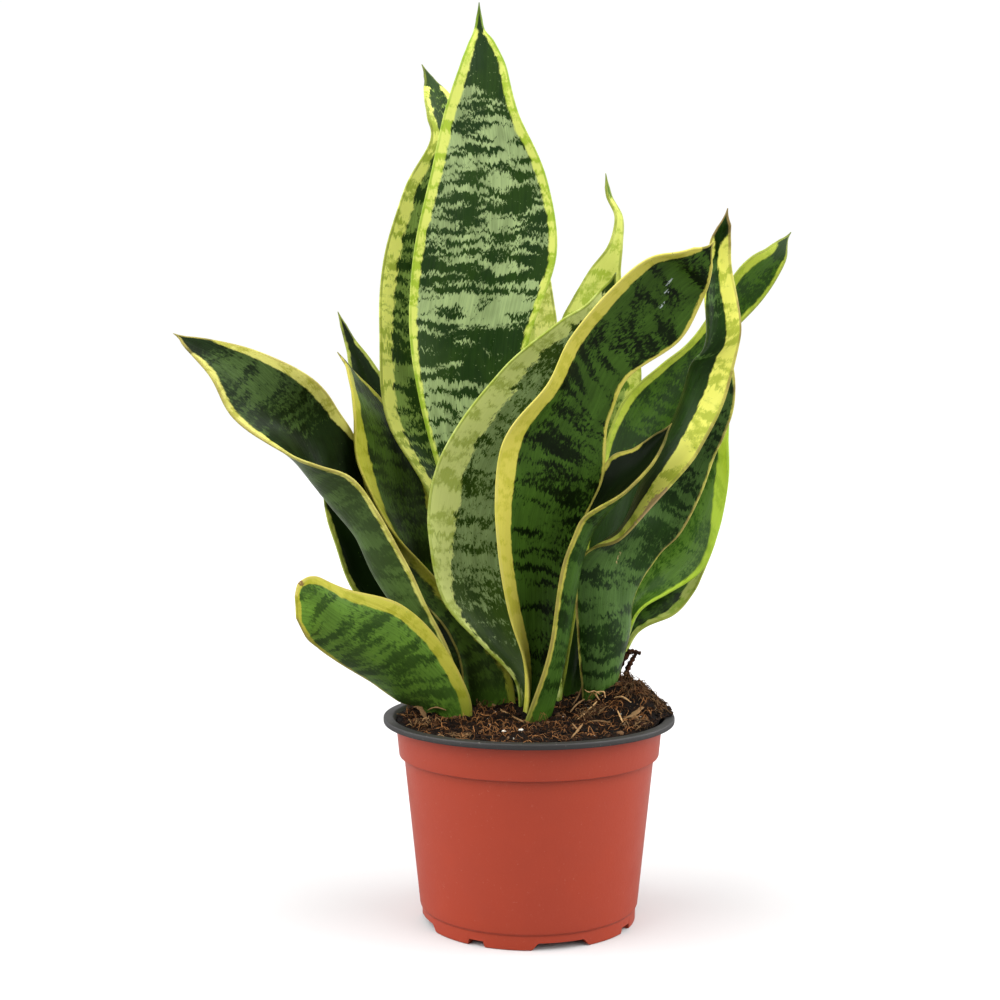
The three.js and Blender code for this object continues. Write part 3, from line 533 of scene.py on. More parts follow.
leafLooks = {
    "leaf_tall": {
        "seed": 1.0, "ground": "#9cb077", "band": "#233c0e", "deep": "#1b330e",
        "yellow": "#cfd768", "yellowGreen": "#8fae1c", "rim": "#86a52a",
        "bandLength": 3.2, "bandLevel": 0.478, "softness": 0.03, "moss": 0.32,
        "spill": 1.5, "backShare": 0.1,
        "yellowLeft": [1, 1, 1, 1.5, 2.6, 3.6, 4.4, 4.4, 3.0, 2.0, 0.5],
        "yellowRight": [1, 1, 1, 1.2, 2, 3, 3.7, 3.5, 2.2, 1.4, 0.4],
        "shade": [0.02] * 9 + [0.03, -0.03, -0.07, -0.06, 0.02, 0.12, 0.09, -0.12, 0.08, 0.05, 0,
                               0.02, 0, -0.02, -0.05, -0.07, -0.03, 0.14, 0.45] + [0.6] * 9,
    },
    "leaf_tall_back": {
        "seed": 2.0, "ground": "#8ca850", "band": "#2b4412", "deep": "#213a10",
        "yellow": "#f0f47c", "yellowGreen": "#93a92a",
        "bandLength": 3.6, "bandLevel": 0.47, "softness": 0.05, "ragged": 3.0, "moss": 0.45, "spill": 3.0,
        "yellowLeft": [3, 4.5, 5.5, 6, 6.5, 6, 4.5, 2.2, 1, 0.5],
        "yellowRight": [2, 2, 2, 2, 2, 2.5, 2, 2, 1],
        "shade": [0] * 7 + [0.2, 0.5],
    },
    "leaf_hidden_back": {
        "seed": 3.0, "ground": "#ccd866", "band": "#86a03a", "deep": "#6c8c2e",
        "yellow": "#f2f48e", "yellowGreen": "#aabb34",
        "bandLength": 5.0, "bandLevel": 0.52, "ragged": 3.0,
        "yellowLeft": [3, 5, 7, 9, 9, 7, 3],
        "yellowRight": [3, 5, 9, 10, 10, 8, 3],
        "shade": [0, 0, 0, 0, 0, 0.2],
    },
    "leaf_spear_back": {
        "seed": 4.0, "ground": "#a5b85a", "band": "#5d7d22", "deep": "#3d5a14",
        "yellow": "#ced667", "yellowGreen": "#93ab21",
        "bandLength": 5.0, "softness": 0.05, "ragged": 3.0, "spill": 2.5,
        "yellowLeft": [3, 6, 9, 12, 14, 14, 9, 4, 1],
        "yellowRight": [2, 3, 5, 6, 6, 4, 2, 1, 0.5],
        "shade": [0, 0, 0, 0, 0, 0.1, 0.3, 0.5],
    },
    "leaf_centre": {
        "seed": 5.0, "ground": "#8ea46a", "band": "#384e17", "deep": "#2a400e",
        "yellow": "#d8e28a", "yellowGreen": "#a3b34c", "rim": "#98a83a",
        "bandLength": 3.0, "bandLevel": 0.555, "softness": 0.06, "ragged": 3.0, "moss": 1.0,
        "edgeSoftness": 0.7, "edgeRagged": 4.5, "spill": 4.0,
        "yellowLeft": [0.5, 0.8, 1.5, 8, 14.5, 14, 12, 9, 7, 5, 2],
        "yellowRight": [2],
        # The darkening near the root is painted shade, where the other leaves close in.
        "shade": [0.5, 0.4, 0.22, 0.04, 0, 0, 0.04, 0.12, 0.2, 0.4],
    },
    "leaf_front": {
        "seed": 6.0, "ground": "#446520", "band": "#101f04", "deep": "#0b1703",
        "yellow": "#d6cd58", "yellowGreen": "#b7b432", "rim": "#d2c865", "mark": "#c3cfcc",
        "bandLevel": 0.53, "softness": 0.07, "ragged": 2.4, "moss": 0.62, "skew": 0.25,
        "edgeSoftness": 0.35, "blotches": 0.6, "spine": 5.0, "tipShade": 0.15,
        "yellowLeft": [4, 5.5, 7, 7.5, 8.5, 8.5, 7.5, 7, 6, 4, 2.5, 1],
        "yellowRight": [0.5, 0.5, 0.5, 0.5, 0.7, 0.8, 0.9, 0.8],
        "shade": [0.02, 0, 0, 0, 0, 0, 0.02, 0, 0.03, 0.1],
        # Three small bluish-white spots high on the leaf.
        "marks": [(-0.5, 200.0, 1.0, 3.0), (1.8, 196.5, 1.0, 3.0), (3.8, 191.5, 1.0, 3.0)],
    },
    "leaf_front_cup": {
        "seed": 7.0, "ground": "#3c5a20", "band": "#213a10", "deep": "#182a0a",
        "yellow": "#b3ac4a", "yellowGreen": "#8f9630", "rim": "#8f8448",
        "bandLength": 3.4, "ragged": 2.4, "edgeSoftness": 0.4, "backShare": 0.0, "specular": 0.02,
        "yellowLeft": [0.8, 0.8, 1, 1.2, 1.8, 2, 1.5, 1],
        "yellowRight": [1, 1, 1.2, 1.4, 1.5, 1.5, 1.2, 0.8],
        "shade": [0, 0, 0, 0, 0, 0.1, 0.2],
        "innerPaintedShade": [1.5],
    },
    "leaf_right_twisted": {
        "seed": 8.0, "ground": "#4c6b30", "band": "#1f3a0c", "deep": "#142a06",
        "yellow": "#ecec6c", "yellowGreen": "#a5b432", "rim": "#94804c", "mark": "#b79a6c",
        "bandLength": 4.2, "softness": 0.06, "ragged": 2.8, "moss": 0.55,
        "edgeSoftness": 0.35, "backShare": 0.0, "yellowBack": 0.15,
        "yellowLeft": [0.8, 0.8, 1, 1.2, 1.5, 1.5, 2, 2.5, 2.5, 2.5, 2],
        "yellowRight": [0.8, 0.8, 0.8, 1, 1.2, 2.5, 5, 8, 9.5, 9.5, 8, 6, 5, 4, 2.5, 1],
        "shade": [0, 0, 0, 0, 0, 0, 0, 0.02, 0.06, 0.12, 0.2],
        "innerPaintedShade": [1.6, 1.6, 1.5, 1.4, 1.0, 0.3, 0, 0, 0],
        "marks": [(25.0, 104.0, 3.4, 13.0), (1.0, 69.5, 0.9, 5.0)],
    },
    "leaf_right_back": {
        "seed": 9.0, "ground": "#3a5c0f", "band": "#1f3a06", "deep": "#1b3404",
        "yellow": "#abba3c", "yellowGreen": "#8fa628",
        "bandLength": 5.0, "softness": 0.06, "ragged": 3.2, "backShare": 0.0,
        "yellowLeft": [0.3, 0.5, 1.8, 4, 4, 4, 3.5, 1.5],
        "yellowRight": [0.3, 0.4, 0.8, 1.2, 1.4, 1.4, 1.2],
        "shade": [0, 0, 0, 0, 0, -0.02, -0.04, 0.1],
        "innerPaintedShade": [1.3, 1.0, 0.3, 0, 0, 0, 0, 0],
    },
    "leaf_right_low": {
        "seed": 10.0, "ground": "#4c6e22", "band": "#2c4c0e", "deep": "#274706",
        "yellow": "#a5c030", "yellowGreen": "#8cab20", "rim": "#9dba3a",
        "bandLength": 5.0, "bandLevel": 0.51, "softness": 0.05, "ragged": 3.4, "moss": 0.45,
        "edgeSoftness": 0.8, "spill": 1.2,
        "yellowLeft": [0.3, 0.3, 0.6, 1.5, 2, 2],
        "yellowRight": [0.3, 0.3, 0.4, 0.9, 3.2, 7.5, 7, 3],
        "shade": [0.1, 0, 0, 0, 0, 0.1],
    },
    "leaf_right_under": {
        "seed": 11.0, "ground": "#3a5a14", "band": "#172c04", "deep": "#102302",
        "yellow": "#b2be60", "yellowGreen": "#7f9f2c", "spill": 2.0,
        "yellowLeft": [1],
        "yellowRight": [1, 2, 3.5, 4.5, 3],
        "shade": [0.1, 0.05, 0, 0, 0.1],
    },
    "leaf_left_long": {
        "seed": 12.0, "ground": "#465d2c", "band": "#1d2e12", "deep": "#132008",
        # The Back colour lightens this leaf's back face: painted sheen.
        "yellow": "#d9d571", "yellowGreen": "#a9a838", "rim": "#b3a75a", "back": "#7f9f54",
        "bandLength": 4.2, "bandLevel": 0.52, "softness": 0.09, "ragged": 2.8, "moss": 0.6, "skew": -0.3,
        "edgeSoftness": 0.4, "backShare": 0.14, "yellowBack": 0.5,
        "yellowLeft": [1.5, 2, 2.2, 2.5, 3, 3, 2.5, 2.5, 2.5, 2.2, 2, 1],
        "yellowRight": [0] * 8 + [4, 5, 3, 1],
        "shade": [0, 0, 0, 0, 0.02, 0.05, 0.04, 0.02, 0, 0, 0.05, 0.1],
        "innerPaintedShade": [0.1, 0.1, 0.1, 0.1, 0.2, 0.4, 0.9, 0.8, 0.2, 0, 0, 0],
    },
    "leaf_left_behind": {
        **shadedLook, "seed": 13.0, "yellow": "#bfc25c", "yellowGreen": "#8a9832",
        "yellowLeft": [1.5, 1.5, 1.5, 1.5, 1.2],
        "yellowRight": [1.5, 1.5, 1.5, 1.5, 1.2],
        "innerPaintedShade": [1.15],
    },
    "leaf_left_short": {
        "seed": 14.0, "ground": "#62882e", "band": "#37521a", "deep": "#2b4510",
        "yellow": "#b4b03e", "yellowGreen": "#9c9c26", "rim": "#b5a850", "mark": "#6b4a2c",
        "bandLength": 4.6, "ragged": 2.4, "moss": 0.6, "skew": -0.8,
        "edgeSoftness": 0.35, "yellowEnd": 2.0, "point": 0.0, "tipShade": 0.0,
        "yellowLeft": [3, 4.5, 5.5, 5.2, 4, 2.8, 1.8, 1.5],
        "yellowRight": [0.6, 0.8, 0.8, 1, 1.5, 2, 1.8, 1.5],
        "shade": [0.06, 0.02, 0, 0, 0, 0, 0],
        "marks": [(-10.8, 101.0, 2.2, 2.2)],
    },
    "leaf_left_small": {
        **shadedLook, "seed": 15.0, "yellow": "#b9c060", "yellowGreen": "#8d9c34",
        "yellowLeft": [0.6, 0.6, 0.6, 0.6, 0.5, 0.4, 0.3],
        "yellowRight": [1, 1.2, 1.2, 1.2, 1.0, 0.8, 0.3],
        "shade": [0, 0, 0, 0, 0.05, 0.1],
        "innerPaintedShade": [0.95],
    },
    "leaf_left_arched": {
        "seed": 16.0, "ground": "#46601f", "band": "#2b3b14", "deep": "#1f2e0c",
        "yellow": "#aaa93c", "yellowGreen": "#8f9224", "rim": "#b2a84c",
        "bandLength": 4.2, "ragged": 2.8, "moss": 0.55, "specular": 0.03,
        "edgeSoftness": 0.9, "edgeRagged": 2.4, "spill": 2.5,
        "yellowLeft": [2, 2, 2.2, 2.8, 4, 8, 13.5, 13, 8, 5, 3, 1],
        "yellowRight": [2, 2, 2, 2, 2.5, 3, 3.5, 4.5, 5, 4.5, 2.5, 1],
        "shade": [0.1, 0.05, 0, 0, 0.05, 0, 0, 0, 0, 0, 0, 0.1],
    },
}


# Values between the rows, on a smooth curve through every row.
def smoothRows(rows, places):
    table = np.array(rows, float)
    index = np.minimum(np.floor(places).astype(int), len(table) - 2)
    share = (places - index)[:, None]
    before = table[np.maximum(index - 1, 0)]
    start = table[index]
    end = table[index + 1]
    after = table[np.minimum(index + 2, len(table) - 1)]
    slopeStart, slopeEnd, climb = (end - before) / 2, (after - start) / 2, end - start
    bend = 3 * climb - 2 * slopeStart - slopeEnd
    twist = slopeStart + slopeEnd - 2 * climb
    return start + share * (slopeStart + share * (bend + share * twist))


def spread(values, shares):
    return np.interp(shares, np.linspace(0, 1, len(values)), values)


def unit(vectors):
    return vectors / np.maximum(np.linalg.norm(vectors, axis=-1, keepdims=True), 1e-9)


def runLengths(points, axis):
    return np.cumsum(np.linalg.norm(np.diff(points, axis=axis), axis=-1), axis=axis)


blade = {
    "stepsPerRow": 9,
    "acrossSteps": 26,
    "edgeSteps": 3,
    "thickness": 2.4,
    "edgeThickness": 1.1,
    "tipThinning": 3.0,  # 3 thins the blade over its last third
    "pointWidth": 0.1,  # this and the next: shares left at the very tip
    "pointThickness": 0.25,
    "edgeRipple": 0.25,
    "ripplePitch": 1.7,
    "fullRippleWidth": 12.0,
    "spineFade": 1.3,
    "yellowCutAtSpine": 3.0,
    "soilHeight": 83.0,
}


def bladeSurface(shape, places):
    last = len(shape["rows"]) - 1
    lean = smoothRows([[value] for value in shape["lean"]], places / last * (len(shape["lean"]) - 1))
    rows = smoothRows(shape["rows"], places)
    eye = np.array(viewerEye)
    edges = []
    for corner in (rows[:, 0:3], rows[:, 3:6]):
        nearer = (corner[:, 1:2] + lean - eye[1]) / (corner[:, 1:2] - eye[1])
        edges.append((corner - eye) * nearer + eye)
    return edges[0], edges[1], rows[:, 6]


# A leaf's middle surface as a grid, with the length along it and how much it narrows at the tip.
def makeSheet(shape, look):
    last = len(shape["rows"]) - 1
    places = np.linspace(0, last, last * blade["stepsPerRow"] + 1)
    shares = places / last
    side = np.linspace(-1, 1, blade["acrossSteps"] + 1)
    left, right, hollow = bladeSurface(shape, places)
    ahead = bladeSurface(shape, np.minimum(places + 0.5, last))
    behind = bladeSurface(shape, np.maximum(places - 0.5, 0))
    along = unit((ahead[0] + ahead[1]) - (behind[0] + behind[1]))
    across = right - left
    facing = unit(np.cross(across, along))
    middle = (left + right) / 2
    length = np.concatenate([[0], runLengths(middle, 0)])
    narrowing = np.ones(len(places))
    if look["point"]:
        least = blade["pointWidth"]
        narrowing = np.clip(least + (1 - least) * (length[-1] - length) / look["point"], 0, 1)
    across = across * narrowing[:, None]
    ripple = shape["wave"] * np.sin(2 * np.pi * shape["waves"] * shares) * np.sin(np.pi * shares)
    depth = hollow[:, None] * (1 - side ** 2) - ripple[:, None] * side ** 3
    grid = middle[:, None] + across[:, None] * side[None, :, None] / 2 - facing[:, None] * depth[..., None]

    # Small unevenness of the two edges.
    room = np.clip(np.linalg.norm(across, axis=1) / blade["fullRippleWidth"], 0, 1)
    for column, sign in ((0, -1), (-1, 1)):
        line = look["seed"] * 5 + sign
        shake = [noise.noise(Vector((place * blade["ripplePitch"], line, 0))) for place in places]
        size = np.array(shake) * blade["edgeRipple"] * room
        grid[:, column] += unit(across) * (sign * size)[:, None]
    return grid, length, narrowing, shares, middle[:, 2]


def sheetThickness(narrowing, shares, side):
    edge, least = blade["edgeThickness"], blade["pointThickness"]
    full = edge + (blade["thickness"] - edge) * (1 - side ** 4)
    toTip = np.minimum(1, (1 - shares) * blade["tipThinning"])
    thick = edge + (full[None] - edge) * toTip[:, None]
    return thick * (least + (1 - least) * narrowing)[:, None]


def tubeFaces(count, around):
    faces = []
    for station in range(count - 1):
        base, above = station * around, (station + 1) * around
        for step in range(around):
            following = (step + 1) % around
            faces.append((base + step, base + following, above + following, above + step))
    top = (count - 1) * around
    return faces + [tuple(range(around - 1, -1, -1)), tuple(range(top, top + around))]


def makeLeaf(name, shape, look):
    grid, length, narrowing, shares, height = makeSheet(shape, look)
    count, columns = grid.shape[:2]
    thick = sheetThickness(narrowing, shares, np.linspace(-1, 1, columns))
    acrossStep = np.gradient(grid, axis=1)
    normals = unit(np.cross(acrossStep, np.gradient(grid, axis=0)))
    outward = unit(acrossStep)

    # Measures of the surface in millimetres, for the colours.
    arc = np.concatenate([np.zeros((count, 1)), runLengths(grid, 1)], axis=1)
    width = arc[:, -1]
    fromTip = length[-1] - length
    yellowLeft, yellowRight = spread(look["yellowLeft"], shares), spread(look["yellowRight"], shares)
    spine = np.clip(blade["spineFade"] - fromTip / look["spine"], 0, 1)
    outerShade = spread(look["shade"], shares) + look["tipShade"] * spine
    # The side towards the viewer takes painted shade on top, for the shade the leaves cast on each other.
    innerPaintedShade = outerShade + spread(look["innerPaintedShade"], shares)

    lines = {"points": [], "across": [], "inward": [], "inside": [], "back": [], "dark": []}

    def addLine(**measures):
        for measure, values in measures.items():
            lines[measure].append(values)

    # Lines from root to tip lie side by side over the face towards the viewer, round an edge, over the
    # back and round the other edge.
    for face, shade, yellowShare in ((1, innerPaintedShade, 1.0), (-1, outerShade, look["yellowBack"])):
        behind = 0.0 if face == 1 else 1.0
        for step in range(columns)[::face]:
            fromLeft, fromRight = arc[:, step], width - arc[:, step]
            inside = np.maximum(yellowLeft * yellowShare - fromLeft, yellowRight * yellowShare - fromRight)
            if look["yellowEnd"]:
                inside = np.maximum(inside, look["yellowEnd"] - fromTip)
            lifted = grid[:, step] + normals[:, step] * (face * thick[:, step] / 2)[:, None]
            addLine(points=lifted, across=arc[:, step] - width / 2, inward=np.minimum(fromLeft, fromRight),
                    inside=inside, back=np.full(count, behind), dark=shade)
        edge = -1 if face == 1 else 0
        for turn in range(1, blade["edgeSteps"] + 1):
            share = turn / (blade["edgeSteps"] + 1)
            angle = math.pi * share
            swing = (normals[:, edge] * math.cos(angle) + outward[:, edge] * math.sin(angle)) * face
            addLine(points=grid[:, edge] + swing * thick[:, edge][:, None] / 2, across=face * width / 2,
                    inward=np.zeros(count), inside=yellowRight if face == 1 else yellowLeft,
                    back=np.full(count, abs(behind - share)), dark=outerShade)

    measured = {measure: np.stack(values, axis=1) for measure, values in lines.items()}
    across = measured["across"]
    lengths = np.repeat(length[:, None], across.shape[1], axis=1)
    heights = np.repeat((height - blade["soilHeight"])[:, None], across.shape[1], axis=1)
    dry = (spine if look["tipShade"] else spine * 0)[:, None]
    inside = measured["inside"] * (1 - dry) - blade["yellowCutAtSpine"] * dry
    marks = np.full(across.shape, -2.0)
    for markAcross, markAlong, halfWide, halfLong in look["marks"]:
        apart = np.hypot((across - markAcross) / halfWide, (lengths - markAlong) / halfLong)
        marks = np.maximum(marks, 1 - apart)

    piece = makePiece("fine_" + name, measured["points"].reshape(-1, 3), tubeFaces(*across.shape),
                      [makeLeafMaterial(name + "_skin", look)], [name])
    addNumbers(piece, "leafPlace", np.stack([across, lengths, measured["inward"]], -1))
    addNumbers(piece, "leafSkin", np.stack([inside, measured["back"], measured["dark"]], -1))
    addNumbers(piece, "leafFoot", heights)
    addNumbers(piece, "leafMark", marks)


for leafName, leafShape in leafShapes.items():
    makeLeaf(leafName, leafShape, {**plainLook, **leafLooks[leafName]})
print("leaves made")


# The potting soil: a peat bed with loose bits on it, in millimetres.
soil = {
    "seed": 5,
    "level": 82.6,
    "radius": 54.5,
    "spill": 4.6,  # how far it runs over the rim at the heap
    "spillStart": 2.2,  # height of the heap at the edge where that starts, and from there to full
    "spillRise": 1.4,
    "spillThickness": 0.3,
    "lip": 84.12,
    "lipGap": (0.1, 0.2),
    "wallRadius": 54.45,
    "innerWall": [(52.85, 80.0), (49.55, 66.2), (42.95, 5.95), (42.35, 5.35)],
    "rings": 70,
    "sectors": 280,
    "heap": (12.5, 46, 15, 22, 27),  # height, middle x and y, widths along x and y
    "heapAtEdge": 0.55,
    "swell": (2.5, -6, 14, 34, 26),
    "edgeFlatness": 12,
    "slopeStart": 51.0,
    "slopeWidth": 8.5,
    "slopeDrop": 0.42,
    "clods": (0.7, 0.31, 0.27),  # height, pitch along x and y
    "ridges": (0.5, 0.13, 0.41),
    "lumps": (1.1, 0.2, 2.0, 0.8, 4),  # height, pitch, shift, fineness and octaves
    "grit": (0.35, 0.9, 6.0, 0.6, 3),
    "footLevel": 84.0,
}

# Peat and grit: dark and brown ground, the pale bits in it, and the depth of the bumps in metres.
soilColors = {
    "peat": ("#060302", "#1b110a", "#a98b66", 0.0008),
    "peat_crumbs": ("#0b0604", "#2b1a11", "#8f6b49", 0.0004),
    "peat_fibres": ("#1a0e07", "#43260f", "#bd8350", 0.0002),
    "peat_bits": ("#1c1009", "#482a1a", "#cfa672", 0.0003),
    "pale_grit": ("#cfc8ba", "#ece6d8", "#ffffff", 0.0002),
}

# Its patterns are given as scale, detail and roughness; then where an effect starts and is full, and
# its values there.
peatGrain = {"patches": (260.0, 3.0, 0.6), "grit": (1500.0, 4.0, 0.7), "flecks": (2600.0, 3.0, 0.6)}
peatFades = {
    "wet": (0.6, 0.9),
    "flecks": (0.6, 0.75, 0.0, 0.14),
    "paleness": (0.2, 0.7, 0.75, 1.0),
    "roughness": (0.3, 0.7, 0.72, 0.98),
}
peatShine = {"specular": 0.12, "bump": 0.8}


def hump(x, y, shape):
    height, middleX, middleY, wideX, wideY = shape
    return height * math.exp(-((x - middleX) / wideX) ** 2 - ((y - middleY) / wideY) ** 2)


def onCircle(turn, radius):
    return radius * math.cos(turn), radius * math.sin(turn)


def spillReach(turn):
    edge = soil["heapAtEdge"] * hump(*onCircle(turn, soil["radius"]), soil["heap"])
    return soil["spill"] * min(max((edge - soil["spillStart"]) / soil["spillRise"], 0.0), 1.0)


def soilEdge(turn):
    return soil["radius"] + spillReach(turn)


def unevenness(x, y, look):
    height, pitch, shift, fineness, octaves = look
    return height * noise.fractal(Vector((x * pitch, y * pitch, shift)), fineness, 2.1, octaves)


def soilHeight(x, y):
    outward = math.hypot(x, y)
    inside = 1 - min(outward / soil["radius"], 1.0) ** soil["edgeFlatness"]
    heapShare = soil["heapAtEdge"] + (1 - soil["heapAtEdge"]) * inside
    clodHeight, clodX, clodY = soil["clods"]
    ridgeHeight, ridgeX, ridgeY = soil["ridges"]
    clods = clodHeight * math.sin(x * clodX + 1) * math.cos(y * clodY)
    ridges = ridgeHeight * math.sin(x * ridgeX - y * ridgeY)
    over = min(max(outward - soil["slopeStart"], 0.0) / soil["slopeWidth"], 1.0)
    heap = hump(x, y, soil["heap"]) * heapShare * (1 - over ** 2 * soil["slopeDrop"])
    swell = hump(x, y, soil["swell"]) + clods + ridges + unevenness(x, y, soil["lumps"])
    return soil["level"] + heap + swell * inside + unevenness(x, y, soil["grit"])


# Where the leaves stand, so that nothing loose lies inside them.
leafFeet = []
for leafShape in leafShapes.values():
    footLeft, footRight, footHollow = bladeSurface(leafShape, np.linspace(0, 1.5, 7))
    nearest = int(np.argmin(np.abs(footLeft[:, 2] - soil["footLevel"])))
    leafFeet.append((footLeft[nearest], footRight[nearest], footHollow[nearest]))


def clearOfLeaves(x, y, room):
    for left, right, hollow in leafFeet:
        start, reach = left[:2], right[:2] - left[:2]
        share = min(max(float(np.dot((x, y) - start, reach) / np.dot(reach, reach)), 0.0), 1.0)
        bulge = np.array([reach[1], -reach[0]]) / np.linalg.norm(reach) * hollow * 4 * share * (1 - share)
        for spot in (start + reach * share - bulge, start + reach * share + bulge):
            if math.hypot(x - spot[0], y - spot[1]) < room:
                return False
    return True


def makeSoilGroup():
    tree, given, made = newGroup("peatTone", ("Dark", "Brown", "Light"))
    place = objectPlace(tree)
    tone = readAttribute(tree, "soilTone", "Fac")
    patches, grit, flecks = (cloudiness(tree, place, *grain) for grain in peatGrain.values())
    mottle = doMath(tree, "ADD", patches, doMath(tree, "MULTIPLY", grit, 0.5))
    earth = mixColors(tree, smoothRise(tree, mottle, *peatFades["wet"]), given["Dark"], given["Brown"])
    earth = mixColors(tree, smoothRise(tree, flecks, *peatFades["flecks"]), earth, given["Light"])
    paleness = doMath(tree, "MULTIPLY", tone, smoothRise(tree, grit, *peatFades["paleness"]))
    earth = mixColors(tree, paleness, earth, given["Light"])
    dullness = smoothRise(tree, patches, *peatFades["roughness"])
    giveOut(tree, made, earth, dullness, doMath(tree, "ADD", grit, patches))
    return tree


soilGroup = makeSoilGroup()


def makeSoilPiece(name, materialName, points, faces, tones, replaced=()):
    *colors, bumpDepth = soilColors[materialName]
    values = {socket: linearColor(color) for socket, color in zip(("Dark", "Brown", "Light"), colors)}
    plain = {"Specular IOR Level": peatShine["specular"]}
    material = newMaterial(materialName, soilGroup, values, plain, peatShine["bump"], bumpDepth)
    piece = makePiece(name, points, faces, [material], replaced)
    addNumbers(piece, "soilTone", tones)


# Loose bits, each given as points, faces and how pale it is, are one piece.
def makeLoosePiece(name, materialName, bits):
    faces, total = [], 0
    for points, sheet, tone in bits:
        faces += [[corner + total for corner in face] for face in sheet]
        total += len(points)
    tones = np.concatenate([np.full(len(points), tone) for points, sheet, tone in bits])
    makeSoilPiece(name, materialName, np.concatenate([bit[0] for bit in bits]), faces, tones)


# The bed's top runs out to the soil's edge; its side then goes down the pot's inner wall to the floor.
def makeBed():
    sectors, lip = soil["sectors"], soil["lip"]
    points, faces = [(0.0, 0.0, soilHeight(0.0, 0.0))], []
    turns = [2 * math.pi * sector / sectors for sector in range(sectors)]
    for ring in range(1, soil["rings"] + 1):
        for turn in turns:
            x, y = onCircle(turn, ring / soil["rings"] * soilEdge(turn))
            level = soilHeight(x, y)
            if spillReach(turn) > 0.0 and math.hypot(x, y) > soil["radius"]:
                level = max(level, lip + soil["spillThickness"])
            points.append((x, y, level))
    for number, (radius, height) in enumerate([(None, lip), (soil["wallRadius"], lip)] + soil["innerWall"]):
        for turn in turns:
            x, y = onCircle(turn, radius or soilEdge(turn))
            level = height
            if number < 2 and spillReach(turn) == 0.0:
                level = min(soilHeight(x, y), lip) - soil["lipGap"][number]
            points.append((x, y, level))
    points.append((0.0, 0.0, soil["innerWall"][-1][1]))
    last = len(points) - 1
    ringCount = (last - 1) // sectors
    for sector in range(sectors):
        following = (sector + 1) % sectors
        faces.append((0, 1 + sector, 1 + following))
        for ring in range(ringCount - 1):
            inner, outer = 1 + ring * sectors, 1 + (ring + 1) * sectors
            faces.append((inner + sector, outer + sector, outer + following, inner + following))
        rim = 1 + (ringCount - 1) * sectors
        faces.append((last, rim + following, rim + sector))
    makeSoilPiece("peat_bed", "peat", points, faces, np.zeros(len(points)), ["soil"])


def ballPoints(level):
    shape = bmesh.new()
    bmesh.ops.create_icosphere(shape, subdivisions=level, radius=1.0)
    shape.verts.ensure_lookup_table()
    corners = np.array([vert.co[:] for vert in shape.verts])
    triangles = [[vert.index for vert in face.verts] for face in shape.faces]
    shape.free()
    return corners, triangles


# The corners of a ball, pushed in and out at random.
def dentBall(corners, least, depth, pitch, shift):
    dents = [least + depth * noise.noise(Vector(corner * pitch) + Vector(shift)) for corner in corners]
    return corners * np.array(dents)[:, None]


crumbs = {
    "kinds": {  # roundness, amount, least and most size
        "small": (1, 2600, 0.25, 0.75),
        "big": (2, 520, 0.7, 1.7),
        "edge": (1, 380, 0.4, 0.95),
    },
    "inset": 1.6,
    "leafGap": 1.4,
    "edgeArc": (-35, 70),  # degrees
    "edgeDepth": 0.7,
    "darkShare": 0.75,
    "palest": 0.8,
    "stretch": ((0.7, 1.4), (0.6, 1.1), (0.5, 0.95)),
    "dents": (0.75, 0.5, 1.3),  # least size, depth and pitch
    "rise": 0.25,
}


def makeCrumbs():
    chance = random.Random(soil["seed"])
    bits = []
    for kind, (roundness, amount, small, large) in crumbs["kinds"].items():
        corners, triangles = ballPoints(roundness)
        for _ in range(amount):
            turn = chance.uniform(0, 2 * math.pi)
            radius = (soilEdge(turn) - crumbs["inset"]) * math.sqrt(chance.random())
            if kind == "edge":
                turn = math.radians(chance.uniform(*crumbs["edgeArc"]))
                radius = soilEdge(turn) - chance.uniform(0.0, crumbs["edgeDepth"])
            x, y = onCircle(turn, radius)
            size = small + (large - small) * chance.random() ** 2
            shift = (chance.uniform(0, 90), 0, 0)
            tone = 0.0 if chance.random() < crumbs["darkShare"] else chance.random() ** 2 * crumbs["palest"]
            if not clearOfLeaves(x, y, crumbs["leafGap"] + size):
                continue
            stretch = np.array([chance.uniform(*span) for span in crumbs["stretch"]])
            angle = chance.uniform(0, math.pi)
            sine, cosine = math.sin(angle), math.cos(angle)
            turned = np.array([[cosine, -sine, 0], [sine, cosine, 0], [0, 0, 1]])
            lump = (dentBall(corners, *crumbs["dents"], shift) * stretch * size) @ turned.T
            level = soilHeight(x, y) + size * crumbs["rise"]
            if kind == "edge":
                level = chance.uniform(soil["lip"] + size, max(level, soil["lip"] + size))
            bits.append((lump + (x, y, level), triangles, tone))
    makeLoosePiece("peat_crumbs", "peat_crumbs", bits)


# A thin round or flattened bit along a path. Its sides are taken a little off upright, because an
# upright stretch would have none.
def tubeAlong(path, widths, sides, flat=1.0):
    path = np.asarray(path, float)
    steps = unit(np.gradient(path, axis=0))
    upward = np.tile([0.0, 0.0, 1.0], (len(path), 1)) + steps[:, [1, 2, 0]] * 0.05
    side = unit(np.cross(steps, upward))
    over = np.cross(side, steps)
    angles = np.linspace(0, 2 * math.pi, sides, endpoint=False)[None, :, None]
    rings = side[:, None] * np.cos(angles) + over[:, None] * np.sin(angles) * flat
    rings = path[:, None] + widths[:, None, None] * rings
    return rings.reshape(-1, 3), tubeFaces(len(path), sides)


# The path of a strand that wanders over the soil up to its edge. It is left out where it meets a leaf
# or would be too short.
def layStrand(chance, x, y, heading, bend, length, look, rise):
    gaps = look["steps"] - 1
    path = []
    for step in range(gaps + 1):
        if math.hypot(x, y) > soilEdge(math.atan2(y, x)) + look["overEdge"]:
            break
        path.append((x, y, soilHeight(x, y) + rise(step)))
        heading += bend + chance.gauss(0, look["wander"])
        x += math.cos(heading) * length / gaps
        y += math.sin(heading) * length / gaps
    clear = len(path) > 3 and all(clearOfLeaves(spot[0], spot[1], look["leafGap"]) for spot in path)
    return path if clear else []


